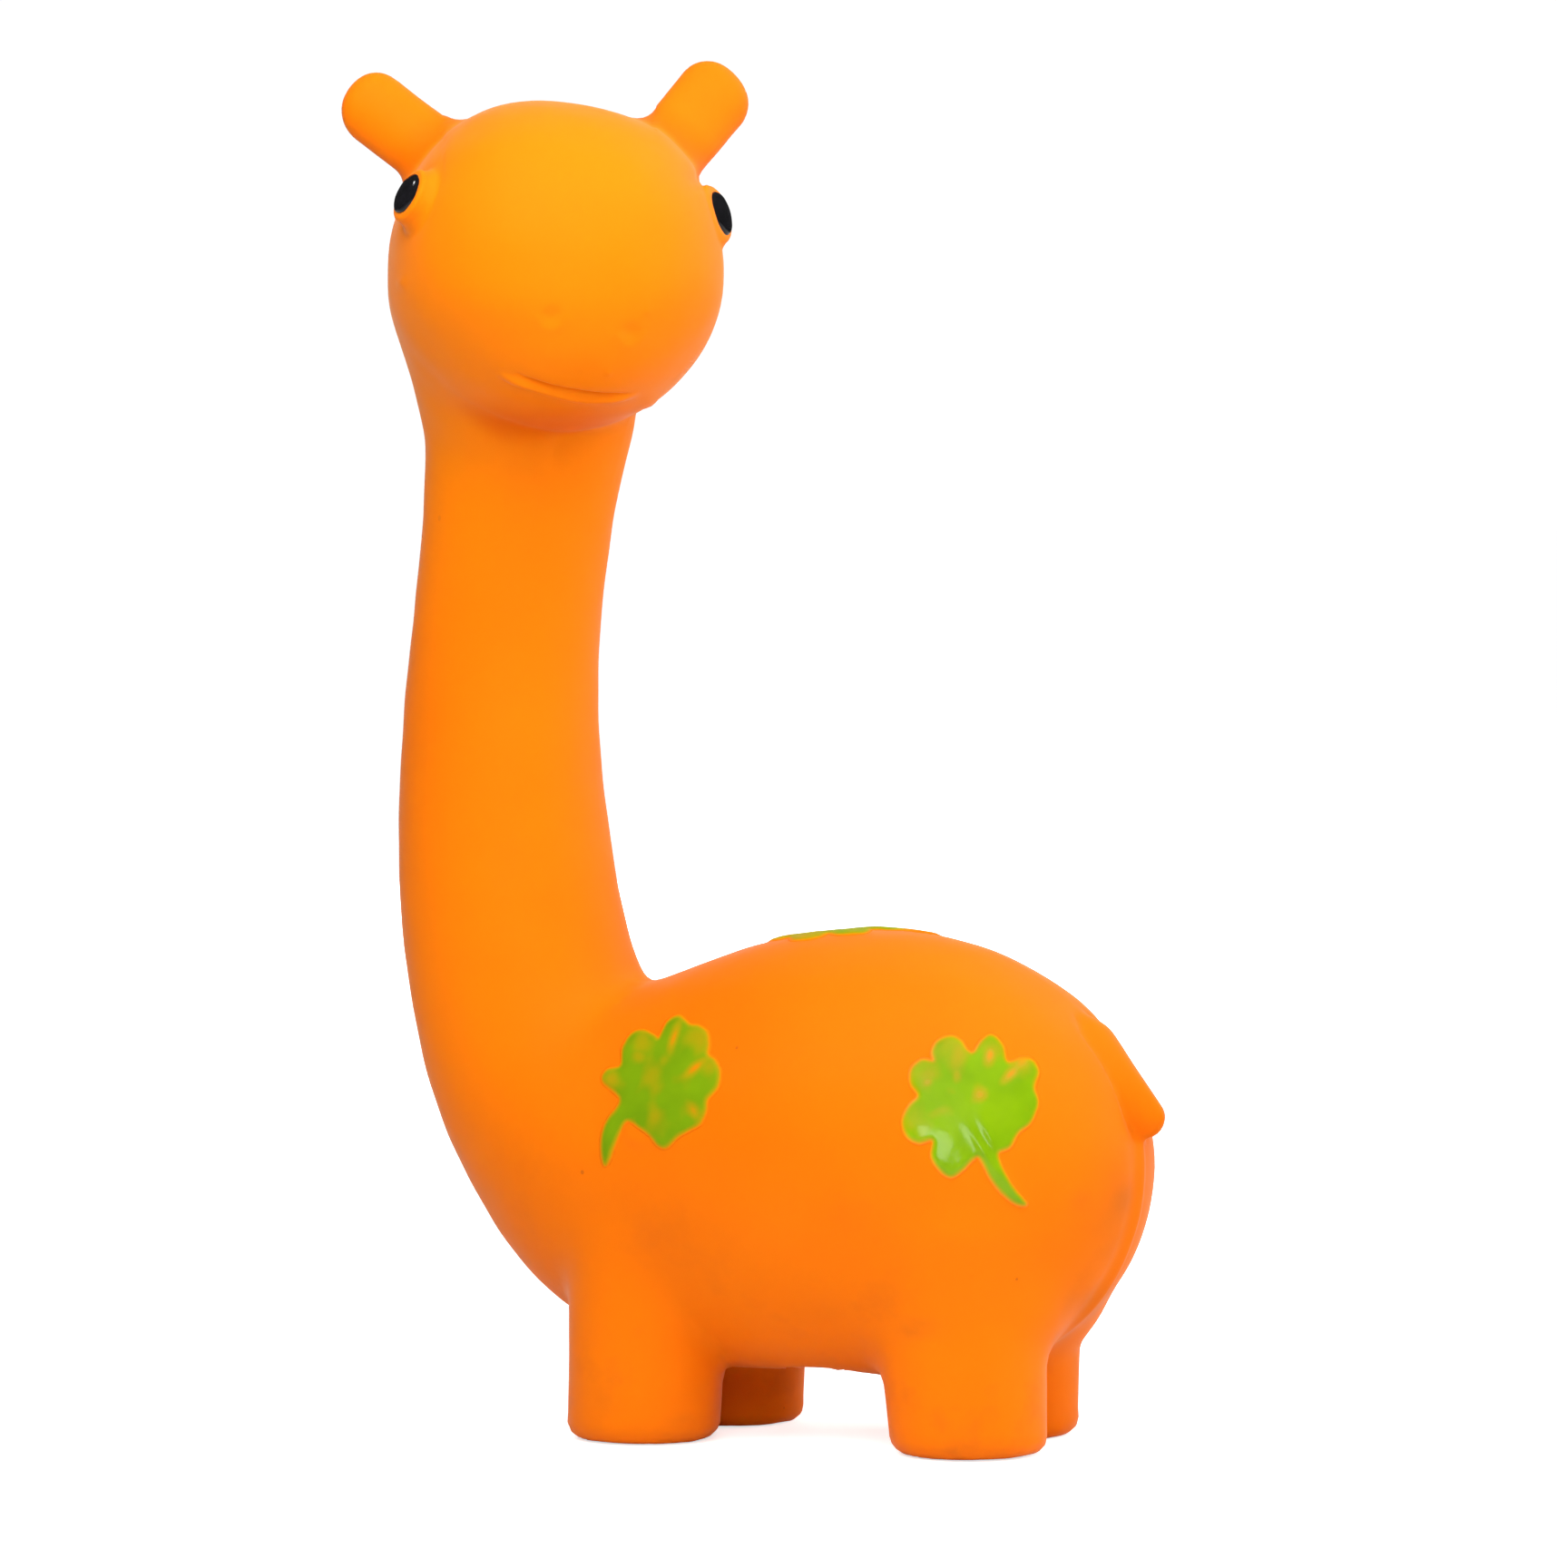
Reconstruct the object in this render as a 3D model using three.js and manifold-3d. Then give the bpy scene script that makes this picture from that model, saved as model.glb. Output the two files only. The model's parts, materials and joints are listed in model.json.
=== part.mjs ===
// Latex squeaky dog toy: a plump long-necked animal standing on four short legs, its head
// turned towards its left side, with enamelled eyes and four-leaf clovers and a reed squeaker
// pressed into the belly. Millimetres, +Z up, soles on z = 0.
import * as THREE from 'three';
import { mergeVertices } from 'three/addons/utils/BufferGeometryUtils.js';
import Module from 'manifold-3d';

const wasm = await Module();
wasm.setup();

// ---------------------------------------------------------------- driving dimensions
const WALL = 2.2;                 // latex wall
const FILM_GAP = 0.30;            // enamel film to latex
const FILM_OUT = 0.85;            // outer face of the enamel films above the latex
const RADIAL = 28;                // facets round the outside of the body
const RADIAL_IN = 20;             // facets round its hollow

// Body from under the head, down the neck, round the chest and along the torso to the rump.
// Each row is one cross-section in the mid-plane: [x, z] on the back side of the body,
// [x, z] on the throat, chest and belly side, and the half-width across.
const BODY = [
  [-23.80, 147.00, -46.40, 150.50, 11.40],
  [-21.60, 141.00, -48.20, 144.60, 12.60],
  [-21.34, 135.03, -49.00, 138.87, 13.20],
  [-22.59, 129.47, -49.44, 132.62, 13.11],
  [-23.90, 123.67, -49.49, 126.60, 12.49],
  [-25.23, 116.31, -49.88, 119.17, 12.04],
  [-26.14, 109.06, -50.63, 111.61, 11.94],
  [-26.62, 101.25, -51.62, 103.12, 12.16],
  [-26.61, 93.58, -52.52, 94.43, 12.57],
  [-26.16, 86.03, -53.11, 85.61, 13.07],
  [-25.51, 79.89, -53.29, 78.35, 13.50],
  [-24.60, 74.00, -53.19, 71.84, 13.87],
  [-23.20, 67.20, -52.70, 64.40, 14.25],
  [-21.30, 61.60, -51.84, 57.88, 14.64],
  [-20.77, 60.49, -50.87, 52.98, 14.80],
  [-20.38, 59.94, -49.62, 48.12, 15.03],
  [-19.87, 59.51, -48.06, 43.23, 15.38],
  [-19.33, 59.18, -46.09, 38.27, 15.94],
  [-18.79, 58.99, -43.53, 33.32, 16.61],
  [-18.11, 58.99, -40.37, 28.36, 17.43],
  [-17.55, 59.07, -36.58, 23.29, 18.57],
  [-17.09, 59.17, -31.90, 18.48, 19.85],
  [-16.60, 59.28, -26.24, 14.38, 21.07],
  [-15.60, 59.60, -20.57, 11.61, 22.03],
  [-12.50, 60.77, -13.20, 9.50, 23.40],
  [-8.00, 62.49, -8.20, 8.66, 24.46],
  [-3.00, 64.06, -3.00, 8.38, 25.33],
  [3.00, 65.37, 3.00, 8.37, 26.10],
  [9.00, 66.03, 9.00, 8.38, 26.50],
  [15.00, 66.11, 15.00, 8.36, 26.56],
  [21.00, 65.67, 21.00, 8.30, 26.30],
  [27.00, 64.53, 27.00, 8.43, 25.54],
  [32.30, 62.67, 32.30, 9.65, 24.19],
  [37.30, 60.09, 37.30, 11.87, 22.13],
  [41.20, 57.22, 41.20, 14.65, 19.58],
  [44.40, 53.97, 44.40, 17.90, 16.59],
  [46.80, 50.56, 46.80, 21.31, 13.46],
  [48.60, 46.50, 48.60, 25.40, 9.60],
];
const RUMP_POLE = [50.6, 36.4];   // rearmost point of the torso, x and z

// Head: rounded block on the neck, turned 32 degrees from square to the body's side.
const HEAD_TURN = 32;
const HEAD_CENTRE = [-27.73, -9.25, 151.38];
const HEAD = { side: 21.7, front: 26.5, back: 25.5, top: 22.9, bottom: 20.5, power: 2.2 };

// Ears: flattened paddles, root point and radius, two tip points with their radii, flattening.
const EARS = [
  { root: [-44.27, -9.41, 166.89], r: 4.58, tips: [[-52.42, -11.31, 175.08, 3.3], [-52.38, -11.37, 173.35, 4.67]] },
  { root: [-16.30, 0.28, 167.16], r: 4.92, tips: [[-11.00, 4.85, 174.27, 4.47], [-11.91, 4.54, 175.74, 4.14]] },
];
const EAR_FLAT = 0.72;

// Eye bosses: centre of the outer face and the way it faces.
const EYES = [
  { name: 'eye_enamel_right', at: [-39.96, -28.27, 161.38], face: [-0.637, -0.652, 0.411] },
  { name: 'eye_enamel_left', at: [-5.27, -6.56, 159.50], face: [0.950, 0.125, 0.284] },
];
const EYE_BOSS_R = 3.6;
const EYE_BOSS_LEN = 6.0;
const EYE_DOME_R = 2.95;
const EYE_DOME_H = 0.9;

// Legs: foot centre x, y, top centre x, foot radius, top radius, edge radius of the sole.
const LEGS = [
  { x: -14.4, y: -11.3, top: -13.6, r: [9.85, 10.8], edge: 1.9 },
  { x: -11.7, y: 11.2, top: -10.8, r: [9.8, 10.3], edge: 1.9 },
  { x: 31.0, y: -11.3, top: 29.2, r: [10.0, 11.2], edge: 2.1 },
  { x: 27.3, y: 11.2, top: 26.8, r: [9.8, 10.5], edge: 1.9 },
];
const LEG_TOP = 24;
const SOLE = 2.4;                 // thickness of the latex under the hollow leg

// Tail: short tapered nub lying on the rump.
const TAIL = { root: [42.63, 0, 51.02], tip: [50.94, 0, 42.94], r: [4.4, 2.5] };

// Squeaker in the belly, on a vertical axis.
const PLUG_X = 8.4;
const SEAT_Z = 10.9;              // flat seat moulded round the hole
const SEAT_R = 7.3;
const HOLE_R = 5.0;
const COLLAR_R = 8.0;             // thickened latex ring that grips the plug
const COLLAR_TOP = 14.9;
const FLANGE_R = 6.8;
const FLANGE_T = 1.0;
const CUP_R = 4.7;
const BORE_R = 3.6;
const CUP_TOP = 20.9;
const BEAD_R = 5.5;               // snap bead above the ring
const SOUND_HOLE_R = 1.3;
const REED_W = 2.8;
const REED_T = 0.25;
const REED_X = 0.45;              // tongue stands this far from the trough's flat face

// Four-leaf clovers: outlines across and up in the plane that they are looked at in.
const CLOVER_A = [
  [-7.24, -10.51], [-7.59, -7.82], [-7.0, -5.25], [-5.14, -2.22], [-7.47, -0.12], [-7.0, 1.28],
  [-5.14, 1.98], [-4.9, 4.09], [-3.74, 5.95], [-2.22, 6.42], [-0.82, 5.84], [-0.12, 5.6],
  [0.93, 7.59], [2.45, 8.4], [3.74, 7.47], [5.02, 7.35], [6.07, 6.65], [6.3, 5.25],
  [6.19, 3.97], [7.12, 3.27], [7.7, 1.75], [7.35, -0.12], [6.19, -1.52], [5.95, -2.92],
  [5.25, -4.55], [3.85, -5.49], [2.33, -6.42], [0.93, -7.82], [-0.12, -7.7], [-1.17, -6.42],
  [-2.57, -5.49], [-4.2, -4.79], [-5.14, -6.19], [-5.95, -8.05], [-6.54, -9.69]];
const CLOVER_B = [
  [6.44, -12.3], [4.94, -10.46], [3.56, -8.16], [2.87, -5.86], [4.37, -5.06], [5.4, -3.33],
  [7.01, -1.95], [7.93, 0.34], [7.47, 2.3], [8.05, 4.14], [7.24, 5.63], [5.86, 5.86],
  [4.14, 5.52], [3.56, 7.47], [2.18, 8.74], [0.92, 8.05], [-0.11, 6.67], [-0.92, 6.9],
  [-1.72, 8.05], [-3.1, 8.62], [-4.6, 8.05], [-5.4, 6.78], [-5.29, 5.63], [-6.78, 5.75],
  [-8.05, 4.6], [-8.16, 2.87], [-7.24, 1.38], [-8.39, 0.0], [-9.2, -1.84], [-8.62, -3.68],
  [-7.13, -4.48], [-5.4, -4.14], [-5.52, -6.21], [-4.48, -7.93], [-3.1, -8.74], [-1.61, -7.82],
  [-0.34, -6.55], [0.57, -6.44], [1.95, -8.97], [3.45, -10.92], [5.29, -12.3]];
const FLANK_TURN = 22;            // the flank clovers face this far round from the side
const CLOVERS = [
  { name: 'clover_left_shoulder', outline: CLOVER_A, at: [-7.36, -22.29, 47.06], side: -1 },
  { name: 'clover_left_rump', outline: CLOVER_B, at: [35.55, -21.40, 45.31], side: -1 },
  { name: 'clover_right_shoulder', outline: CLOVER_A, at: [-7.36, 22.29, 47.06], side: 1 },
  { name: 'clover_right_rump', outline: CLOVER_B, at: [35.55, 21.40, 45.31], side: 1 },
  { name: 'clover_back', outline: CLOVER_B, at: [7.3, 3.2, 66.0], side: 0, turn: 62 },
];

// ---------------------------------------------------------------- helpers
const v3 = (p) => new THREE.Vector3(p[0], p[1], p[2]);

function cleaned(geometry) {
  const g = geometry.clone();
  for (const n of Object.keys(g.attributes)) if (n !== 'position') g.deleteAttribute(n);
  const m = mergeVertices(g, 1e-4);
  const p = m.attributes.position, idx = m.index.array, keep = [];
  let vol = 0;
  const a = new THREE.Vector3(), b = new THREE.Vector3(), c = new THREE.Vector3();
  for (let i = 0; i < idx.length; i += 3) {
    const [i0, i1, i2] = [idx[i], idx[i + 1], idx[i + 2]];
    if (i0 === i1 || i1 === i2 || i2 === i0) continue;
    keep.push(i0, i1, i2);
    a.fromBufferAttribute(p, i0); b.fromBufferAttribute(p, i1); c.fromBufferAttribute(p, i2);
    vol += a.dot(b.cross(c)) / 6;
  }
  if (vol < 0) for (let i = 0; i < keep.length; i += 3) [keep[i + 1], keep[i + 2]] = [keep[i + 2], keep[i + 1]];
  m.setIndex(keep);
  return m;
}

function solid(geometry) {
  const g = cleaned(geometry);
  return new wasm.Manifold(new wasm.Mesh({
    numProp: 3,
    vertProperties: new Float32Array(g.attributes.position.array),
    triVerts: new Uint32Array(g.index.array),
  }));
}

function geometryOf(manifold) {
  const m = manifold.getMesh();
  const g = new THREE.BufferGeometry();
  const n = m.numProp, count = m.vertProperties.length / n;
  const pos = new Float32Array(count * 3);
  for (let i = 0; i < count; i++) for (let k = 0; k < 3; k++) pos[i * 3 + k] = m.vertProperties[i * n + k];
  g.setAttribute('position', new THREE.BufferAttribute(pos, 3));
  g.setIndex(new THREE.BufferAttribute(new Uint32Array(m.triVerts), 1));
  g.computeVertexNormals();
  return g;
}

// A turned solid about +Z from [radius, z] points.
function turned(points, segments) {
  const g = new THREE.LatheGeometry(points.map((p) => new THREE.Vector2(p[0], p[1])), segments);
  g.rotateX(Math.PI / 2);
  return g;
}

// Places a solid made about +Z so that +Z runs along axis and +X leans towards hint.
function placed(geometry, at, axis, hint) {
  const z = v3(axis).normalize();
  const x = v3(hint ?? (Math.abs(z.z) < 0.9 ? [0, 0, 1] : [1, 0, 0]));
  x.addScaledVector(z, -x.dot(z)).normalize();
  const y = new THREE.Vector3().crossVectors(z, x);
  const m = new THREE.Matrix4().makeBasis(x, y, z).setPosition(at[0], at[1], at[2]);
  return geometry.clone().applyMatrix4(m);
}

// Profile of two spheres of radius r0 (at z = 0) and r1 (at z = length) joined by their cone.
function roundCone(r0, r1, length, steps = 7) {
  const lean = Math.asin((r0 - r1) / length), pts = [];
  for (let i = 0; i <= steps; i++) {
    const t = -Math.PI / 2 + (Math.PI / 2 + lean) * i / steps;
    pts.push([i === 0 ? 0 : r0 * Math.cos(t), r0 * Math.sin(t)]);
  }
  for (let i = 0; i <= steps; i++) {
    const t = lean + (Math.PI / 2 - lean) * i / steps;
    pts.push([i === steps ? 0 : r1 * Math.cos(t), length + r1 * Math.sin(t)]);
  }
  return pts;
}

// ---------------------------------------------------------------- body
// Moves both outlines square to themselves by `inset` (inwards when positive).
function insetOutline(points, inset, left) {
  return points.map((p, i) => {
    const a = points[Math.max(i - 1, 0)], b = points[Math.min(i + 1, points.length - 1)];
    const t = new THREE.Vector2(b[0] - a[0], b[1] - a[1]).normalize();
    const n = left ? [-t.y, t.x] : [t.y, -t.x];
    return [p[0] + n[0] * inset, p[1] + n[1] * inset];
  });
}

function bodySolid(inset) {
  const radial = inset > 0 ? RADIAL_IN : RADIAL;
  // walking from head to rump, the back outline has the body on its right hand
  const back = insetOutline(BODY.map((r) => [r[0], r[1]]), inset, false);
  const front = insetOutline(BODY.map((r) => [r[2], r[3]]), inset, true);
  const wide = BODY.map((r) => r[4] - inset);
  const rows = BODY.length;
  const g = new THREE.CylinderGeometry(1, 1, 1, radial, rows - 1, false);
  const p = g.attributes.position;
  for (let i = 0; i < p.count; i++) {
    const j = Math.round((0.5 - p.getY(i)) * (rows - 1));
    const side = p.getX(i), across = p.getZ(i);
    if (Math.hypot(side, across) < 0.5) {
      if (j === 0) p.setXYZ(i, (back[0][0] + front[0][0]) / 2, 0, (back[0][1] + front[0][1]) / 2);
      else p.setXYZ(i, RUMP_POLE[0] - inset, 0, RUMP_POLE[1]);
      continue;
    }
    const mx = (back[j][0] + front[j][0]) / 2, mz = (back[j][1] + front[j][1]) / 2;
    const hx = (front[j][0] - back[j][0]) / 2, hz = (front[j][1] - back[j][1]) / 2;
    p.setXYZ(i, mx + hx * across, side * wide[j], mz + hz * across);
  }
  return solid(g);
}

// ---------------------------------------------------------------- head
const turn = THREE.MathUtils.degToRad(HEAD_TURN);
const headFront = new THREE.Vector3(Math.sin(turn), -Math.cos(turn), 0);
const headSide = new THREE.Vector3(Math.cos(turn), Math.sin(turn), 0);

function headSolid(inset) {
  const g = inset > 0 ? new THREE.SphereGeometry(1, 22, 14) : new THREE.SphereGeometry(1, 32, 20);
  const p = g.attributes.position;
  for (let i = 0; i < p.count; i++) {
    const s = p.getX(i), u = p.getY(i), f = p.getZ(i);
    const a = HEAD.side - inset, b = (f > 0 ? HEAD.front : HEAD.back) - inset;
    const c = (u > 0 ? HEAD.top : HEAD.bottom) - inset;
    const n = u > 0 ? HEAD.power : 2 + (HEAD.power - 2) * Math.exp(-((u * c / 6) ** 2));
    const k = (Math.abs(s / a) ** n + Math.abs(f / b) ** n + Math.abs(u / c) ** n) ** (-1 / n);
    p.setXYZ(i, s * k, u * k, f * k);
  }
  const m = new THREE.Matrix4().makeBasis(headSide, new THREE.Vector3(0, 0, 1), headFront)
    .setPosition(...HEAD_CENTRE);
  return solid(g.applyMatrix4(m));
}

function earSolid(ear) {
  const lobes = ear.tips.map((tip) => {
    const axis = v3(tip).sub(v3(ear.root)), length = axis.length();
    const g = turned(roundCone(ear.r, tip[3], length, 6), 18);
    g.scale(EAR_FLAT, 1, 1);
    return solid(placed(g, ear.root, axis.toArray(), headFront.toArray()));
  });
  return lobes[0].add(lobes[1]);
}

function eyeBoss(eye) {
  const r = EYE_BOSS_R, e = 0.4, pts = [[0, -EYE_BOSS_LEN - 0.3], [r - 0.4, -EYE_BOSS_LEN - 0.3], [r, -EYE_BOSS_LEN + 0.2]];
  for (let i = 0; i <= 4; i++) {
    const t = Math.PI / 2 * i / 4;
    pts.push([r - e + e * Math.cos(t), -0.3 - e + e * Math.sin(t)]);
  }
  pts.push([0, -0.3]);
  return solid(placed(turned(pts, 20), eye.at, eye.face));
}

function eyeDome(eye) {
  const R = (EYE_DOME_R ** 2 + EYE_DOME_H ** 2) / (2 * EYE_DOME_H), pts = [[0, 0], [EYE_DOME_R, 0], [EYE_DOME_R, 0.2]];
  for (let i = 1; i <= 6; i++) {
    const r = EYE_DOME_R * (1 - i / 6);
    pts.push([i === 6 ? 0 : r, 0.2 + Math.sqrt(R * R - r * r) - (R - EYE_DOME_H)]);
  }
  return placed(turned(pts, 22), eye.at, eye.face);
}

// ---------------------------------------------------------------- legs and tail
function legProfile(r0, r1, z0, z1, edge) {
  const pts = [[0, z0], [r0 - edge, z0]];
  for (let i = 1; i <= 4; i++) {
    const t = -Math.PI / 2 + Math.PI / 2 * i / 4;
    pts.push([r0 - edge + edge * Math.cos(t), z0 + edge + edge * Math.sin(t)]);
  }
  pts.push([r1, z1], [0, z1]);
  return pts;
}

function legSolid(leg, inset) {
  const z0 = inset > 0 ? SOLE : 0, z1 = inset > 0 ? 20 : LEG_TOP;
  const edge = Math.max(leg.edge - inset, 0.8);
  const g = turned(legProfile(leg.r[0] - inset, leg.r[1] - inset, z0, z1, edge), 24);
  const lean = (leg.top - leg.x) / LEG_TOP;
  g.applyMatrix4(new THREE.Matrix4().set(1, 0, lean, leg.x, 0, 1, 0, leg.y, 0, 0, 1, 0, 0, 0, 0, 1));
  return solid(g);
}

function tailSolid() {
  const axis = v3(TAIL.tip).sub(v3(TAIL.root));
  const g = turned(roundCone(TAIL.r[0], TAIL.r[1], axis.length(), 6), 18);
  return solid(placed(g, TAIL.root, axis.toArray(), [0, 1, 0]));
}

// ---------------------------------------------------------------- latex moulding
let outer = bodySolid(0).add(headSolid(0));
for (const ear of EARS) outer = outer.add(earSolid(ear));
for (const eye of EYES) outer = outer.add(eyeBoss(eye));
for (const leg of LEGS) outer = outer.add(legSolid(leg, 0));
outer = outer.add(tailSolid());

let hollow = bodySolid(WALL).add(headSolid(WALL));
for (const leg of LEGS) hollow = hollow.add(legSolid(leg, WALL));

const disc = (r, z0, z1, segments = 32) => {
  const g = new THREE.CylinderGeometry(r, r, z1 - z0, segments);
  g.rotateX(Math.PI / 2);
  g.translate(PLUG_X, 0, (z0 + z1) / 2);
  return solid(g);
};
// the thickened ring is left standing inside the hollow, then the seat and the hole are cut
hollow = hollow.subtract(disc(COLLAR_R, 5, COLLAR_TOP));
const skin = outer.subtract(hollow)
  .subtract(disc(SEAT_R, 4, SEAT_Z, 36))
  .subtract(disc(HOLE_R, 5, COLLAR_TOP + 2));

// ---------------------------------------------------------------- clover enamel
const shell = bodySolid(-FILM_OUT).subtract(bodySolid(-FILM_GAP));

function cloverFilm(c) {
  const shape = new THREE.Shape(c.outline.map((p) => new THREE.Vector2(p[0], p[1])));
  const g = new THREE.ExtrudeGeometry(shape, { depth: 24, bevelEnabled: false, steps: 1 });
  g.translate(0, 0, -12);
  if (c.side === 0) {
    g.rotateZ(THREE.MathUtils.degToRad(c.turn));
    g.translate(...c.at);
  } else {
    const a = THREE.MathUtils.degToRad(FLANK_TURN);
    const m = new THREE.Matrix4().makeBasis(
      new THREE.Vector3(Math.cos(a), Math.sin(a), 0), new THREE.Vector3(0, 0, 1),
      new THREE.Vector3(Math.sin(a), -Math.cos(a), 0)).setPosition(c.at[0], -Math.abs(c.at[1]), c.at[2]);
    g.applyMatrix4(m);
    if (c.side > 0) g.scale(1, -1, 1);
  }
  return geometryOf(solid(g).intersect(shell));
}

// ---------------------------------------------------------------- squeaker
const flangeLow = SEAT_Z - 0.3 - FLANGE_T;      // underside of the flange
const floorTop = flangeLow + 1.2;
const at = (g) => g.translate(PLUG_X, 0, 0);

// flanged cup, open at the top, sound hole in its floor, snap bead above the latex ring
const plug = at(turned([
  [SOUND_HOLE_R, flangeLow], [FLANGE_R - 0.4, flangeLow], [FLANGE_R, flangeLow + 0.4],
  [FLANGE_R, flangeLow + FLANGE_T], [CUP_R, flangeLow + FLANGE_T], [CUP_R, COLLAR_TOP + 0.3],
  [BEAD_R, COLLAR_TOP + 0.3], [BEAD_R, COLLAR_TOP + 0.8], [CUP_R, COLLAR_TOP + 2.0],
  [CUP_R, CUP_TOP], [BORE_R, CUP_TOP], [BORE_R, floorTop], [SOUND_HOLE_R, floorTop],
  [SOUND_HOLE_R, flangeLow]], 36));

// cap with a spigot in the bore and five air holes
const capBase = CUP_TOP + 0.3;
let cap = solid(at(turned([
  [0, capBase], [2.3, capBase], [2.3, capBase - 1.6], [BORE_R - 0.3, capBase - 1.6],
  [BORE_R - 0.3, capBase], [CUP_R, capBase], [CUP_R, capBase + 0.7], [CUP_R - 0.3, capBase + 1.0],
  [0, capBase + 1.0]], 30)));
const airHole = (x, y) => {
  const g = new THREE.CylinderGeometry(0.5, 0.5, 4, 10);
  g.rotateX(Math.PI / 2);
  return solid(g.translate(PLUG_X + x, y, capBase + 0.5));
};
cap = cap.subtract(airHole(0, 0));
for (let i = 0; i < 4; i++) cap = cap.subtract(airHole(1.4 * Math.cos(i * Math.PI / 2 + 0.4), 1.4 * Math.sin(i * Math.PI / 2 + 0.4)));

// sleeve low in the bore that holds the trough and the root of the tongue
const sleeveLow = floorTop + 0.3, sleeveTop = sleeveLow + 3.0;
const sleeve = at(turned([[2.3, sleeveLow], [BORE_R - 0.3, sleeveLow], [BORE_R - 0.3, sleeveTop],
  [2.3, sleeveTop], [2.3, sleeveLow]], 30));

// half-round trough, flat face towards +X, closed at the top
const troughLow = sleeveLow + 0.2, troughTop = 17.8;
const halfRound = (r, flat, z0, z1) => {
  const s = new THREE.Shape();
  s.moveTo(flat, -Math.sqrt(r * r - flat * flat));
  const a0 = Math.atan2(-Math.sqrt(r * r - flat * flat), flat);
  for (let i = 0; i <= 12; i++) {
    const a = a0 - (2 * Math.PI + 2 * a0) * i / 12;
    s.lineTo(r * Math.cos(a), r * Math.sin(a));
  }
  const g = new THREE.ExtrudeGeometry(s, { depth: z1 - z0, bevelEnabled: false });
  return solid(g.translate(PLUG_X, 0, z0));
};
const trough = halfRound(1.9, -0.15, troughLow, troughTop)
  .subtract(halfRound(1.3, 0.3, troughLow - 1, troughTop - 0.7));

// springy tongue over the trough, a narrow strip with a rounded tip
const tongueLow = troughLow + 0.4, tongueTop = 17.5;
const strip = new THREE.Shape();
strip.moveTo(-REED_W / 2, tongueLow);
strip.lineTo(REED_W / 2, tongueLow);
for (let i = 0; i <= 8; i++) {
  const a = Math.PI * i / 8;
  strip.lineTo(REED_W / 2 * Math.cos(a), tongueTop - REED_W / 2 + REED_W / 2 * Math.sin(a));
}
const tongue = new THREE.ExtrudeGeometry(strip, { depth: REED_T, bevelEnabled: false });
tongue.applyMatrix4(new THREE.Matrix4().set(0, 0, 1, PLUG_X - 0.15 + REED_X, 1, 0, 0, 0, 0, 1, 0, 0, 0, 0, 0, 1));

// ---------------------------------------------------------------- assembly
const latex = new THREE.MeshStandardMaterial({ color: 0xff8a12, roughness: 0.62, metalness: 0 });
const black = new THREE.MeshStandardMaterial({ color: 0x0d0b0e, roughness: 0.12, metalness: 0 });
const green = new THREE.MeshStandardMaterial({ color: 0x86b80e, roughness: 0.22, metalness: 0 });
const white = new THREE.MeshStandardMaterial({ color: 0xf1efe8, roughness: 0.35, metalness: 0 });
const cream = new THREE.MeshStandardMaterial({ color: 0xe6e0cf, roughness: 0.4, metalness: 0 });
const film = new THREE.MeshStandardMaterial({ color: 0xd8dde0, roughness: 0.3, metalness: 0 });

const toy = new THREE.Group();
const animal = new THREE.Group();
const squeaker = new THREE.Group();
toy.add(animal);
animal.add(squeaker);

function piece(parent, name, geometry, material) {
  const mesh = new THREE.Mesh(geometry, material);
  mesh.name = name;
  parent.add(mesh);
  return mesh;
}
piece(animal, 'latex_skin', geometryOf(skin), latex);
for (const eye of EYES) piece(animal, eye.name, cleaned(eyeDome(eye)), black);
for (const c of CLOVERS) piece(animal, c.name, cloverFilm(c), green);
piece(squeaker, 'squeaker_plug', cleaned(plug), white);
piece(squeaker, 'squeaker_cap', geometryOf(cap), white);
piece(squeaker, 'reed_collar', cleaned(sleeve), cream);
piece(squeaker, 'reed_trough', geometryOf(trough), cream);
piece(squeaker, 'reed_tongue', cleaned(tongue), film);

// the origin is the middle of the footprint box, on the ground
const box = new THREE.Box3().setFromObject(toy);
animal.position.set(-(box.min.x + box.max.x) / 2, -(box.min.y + box.max.y) / 2, 0);

export default toy;
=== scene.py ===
import json
import math

import bpy
import numpy as np
from mathutils import Matrix, Vector
from mathutils.geometry import delaunay_2d_cdt

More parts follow.
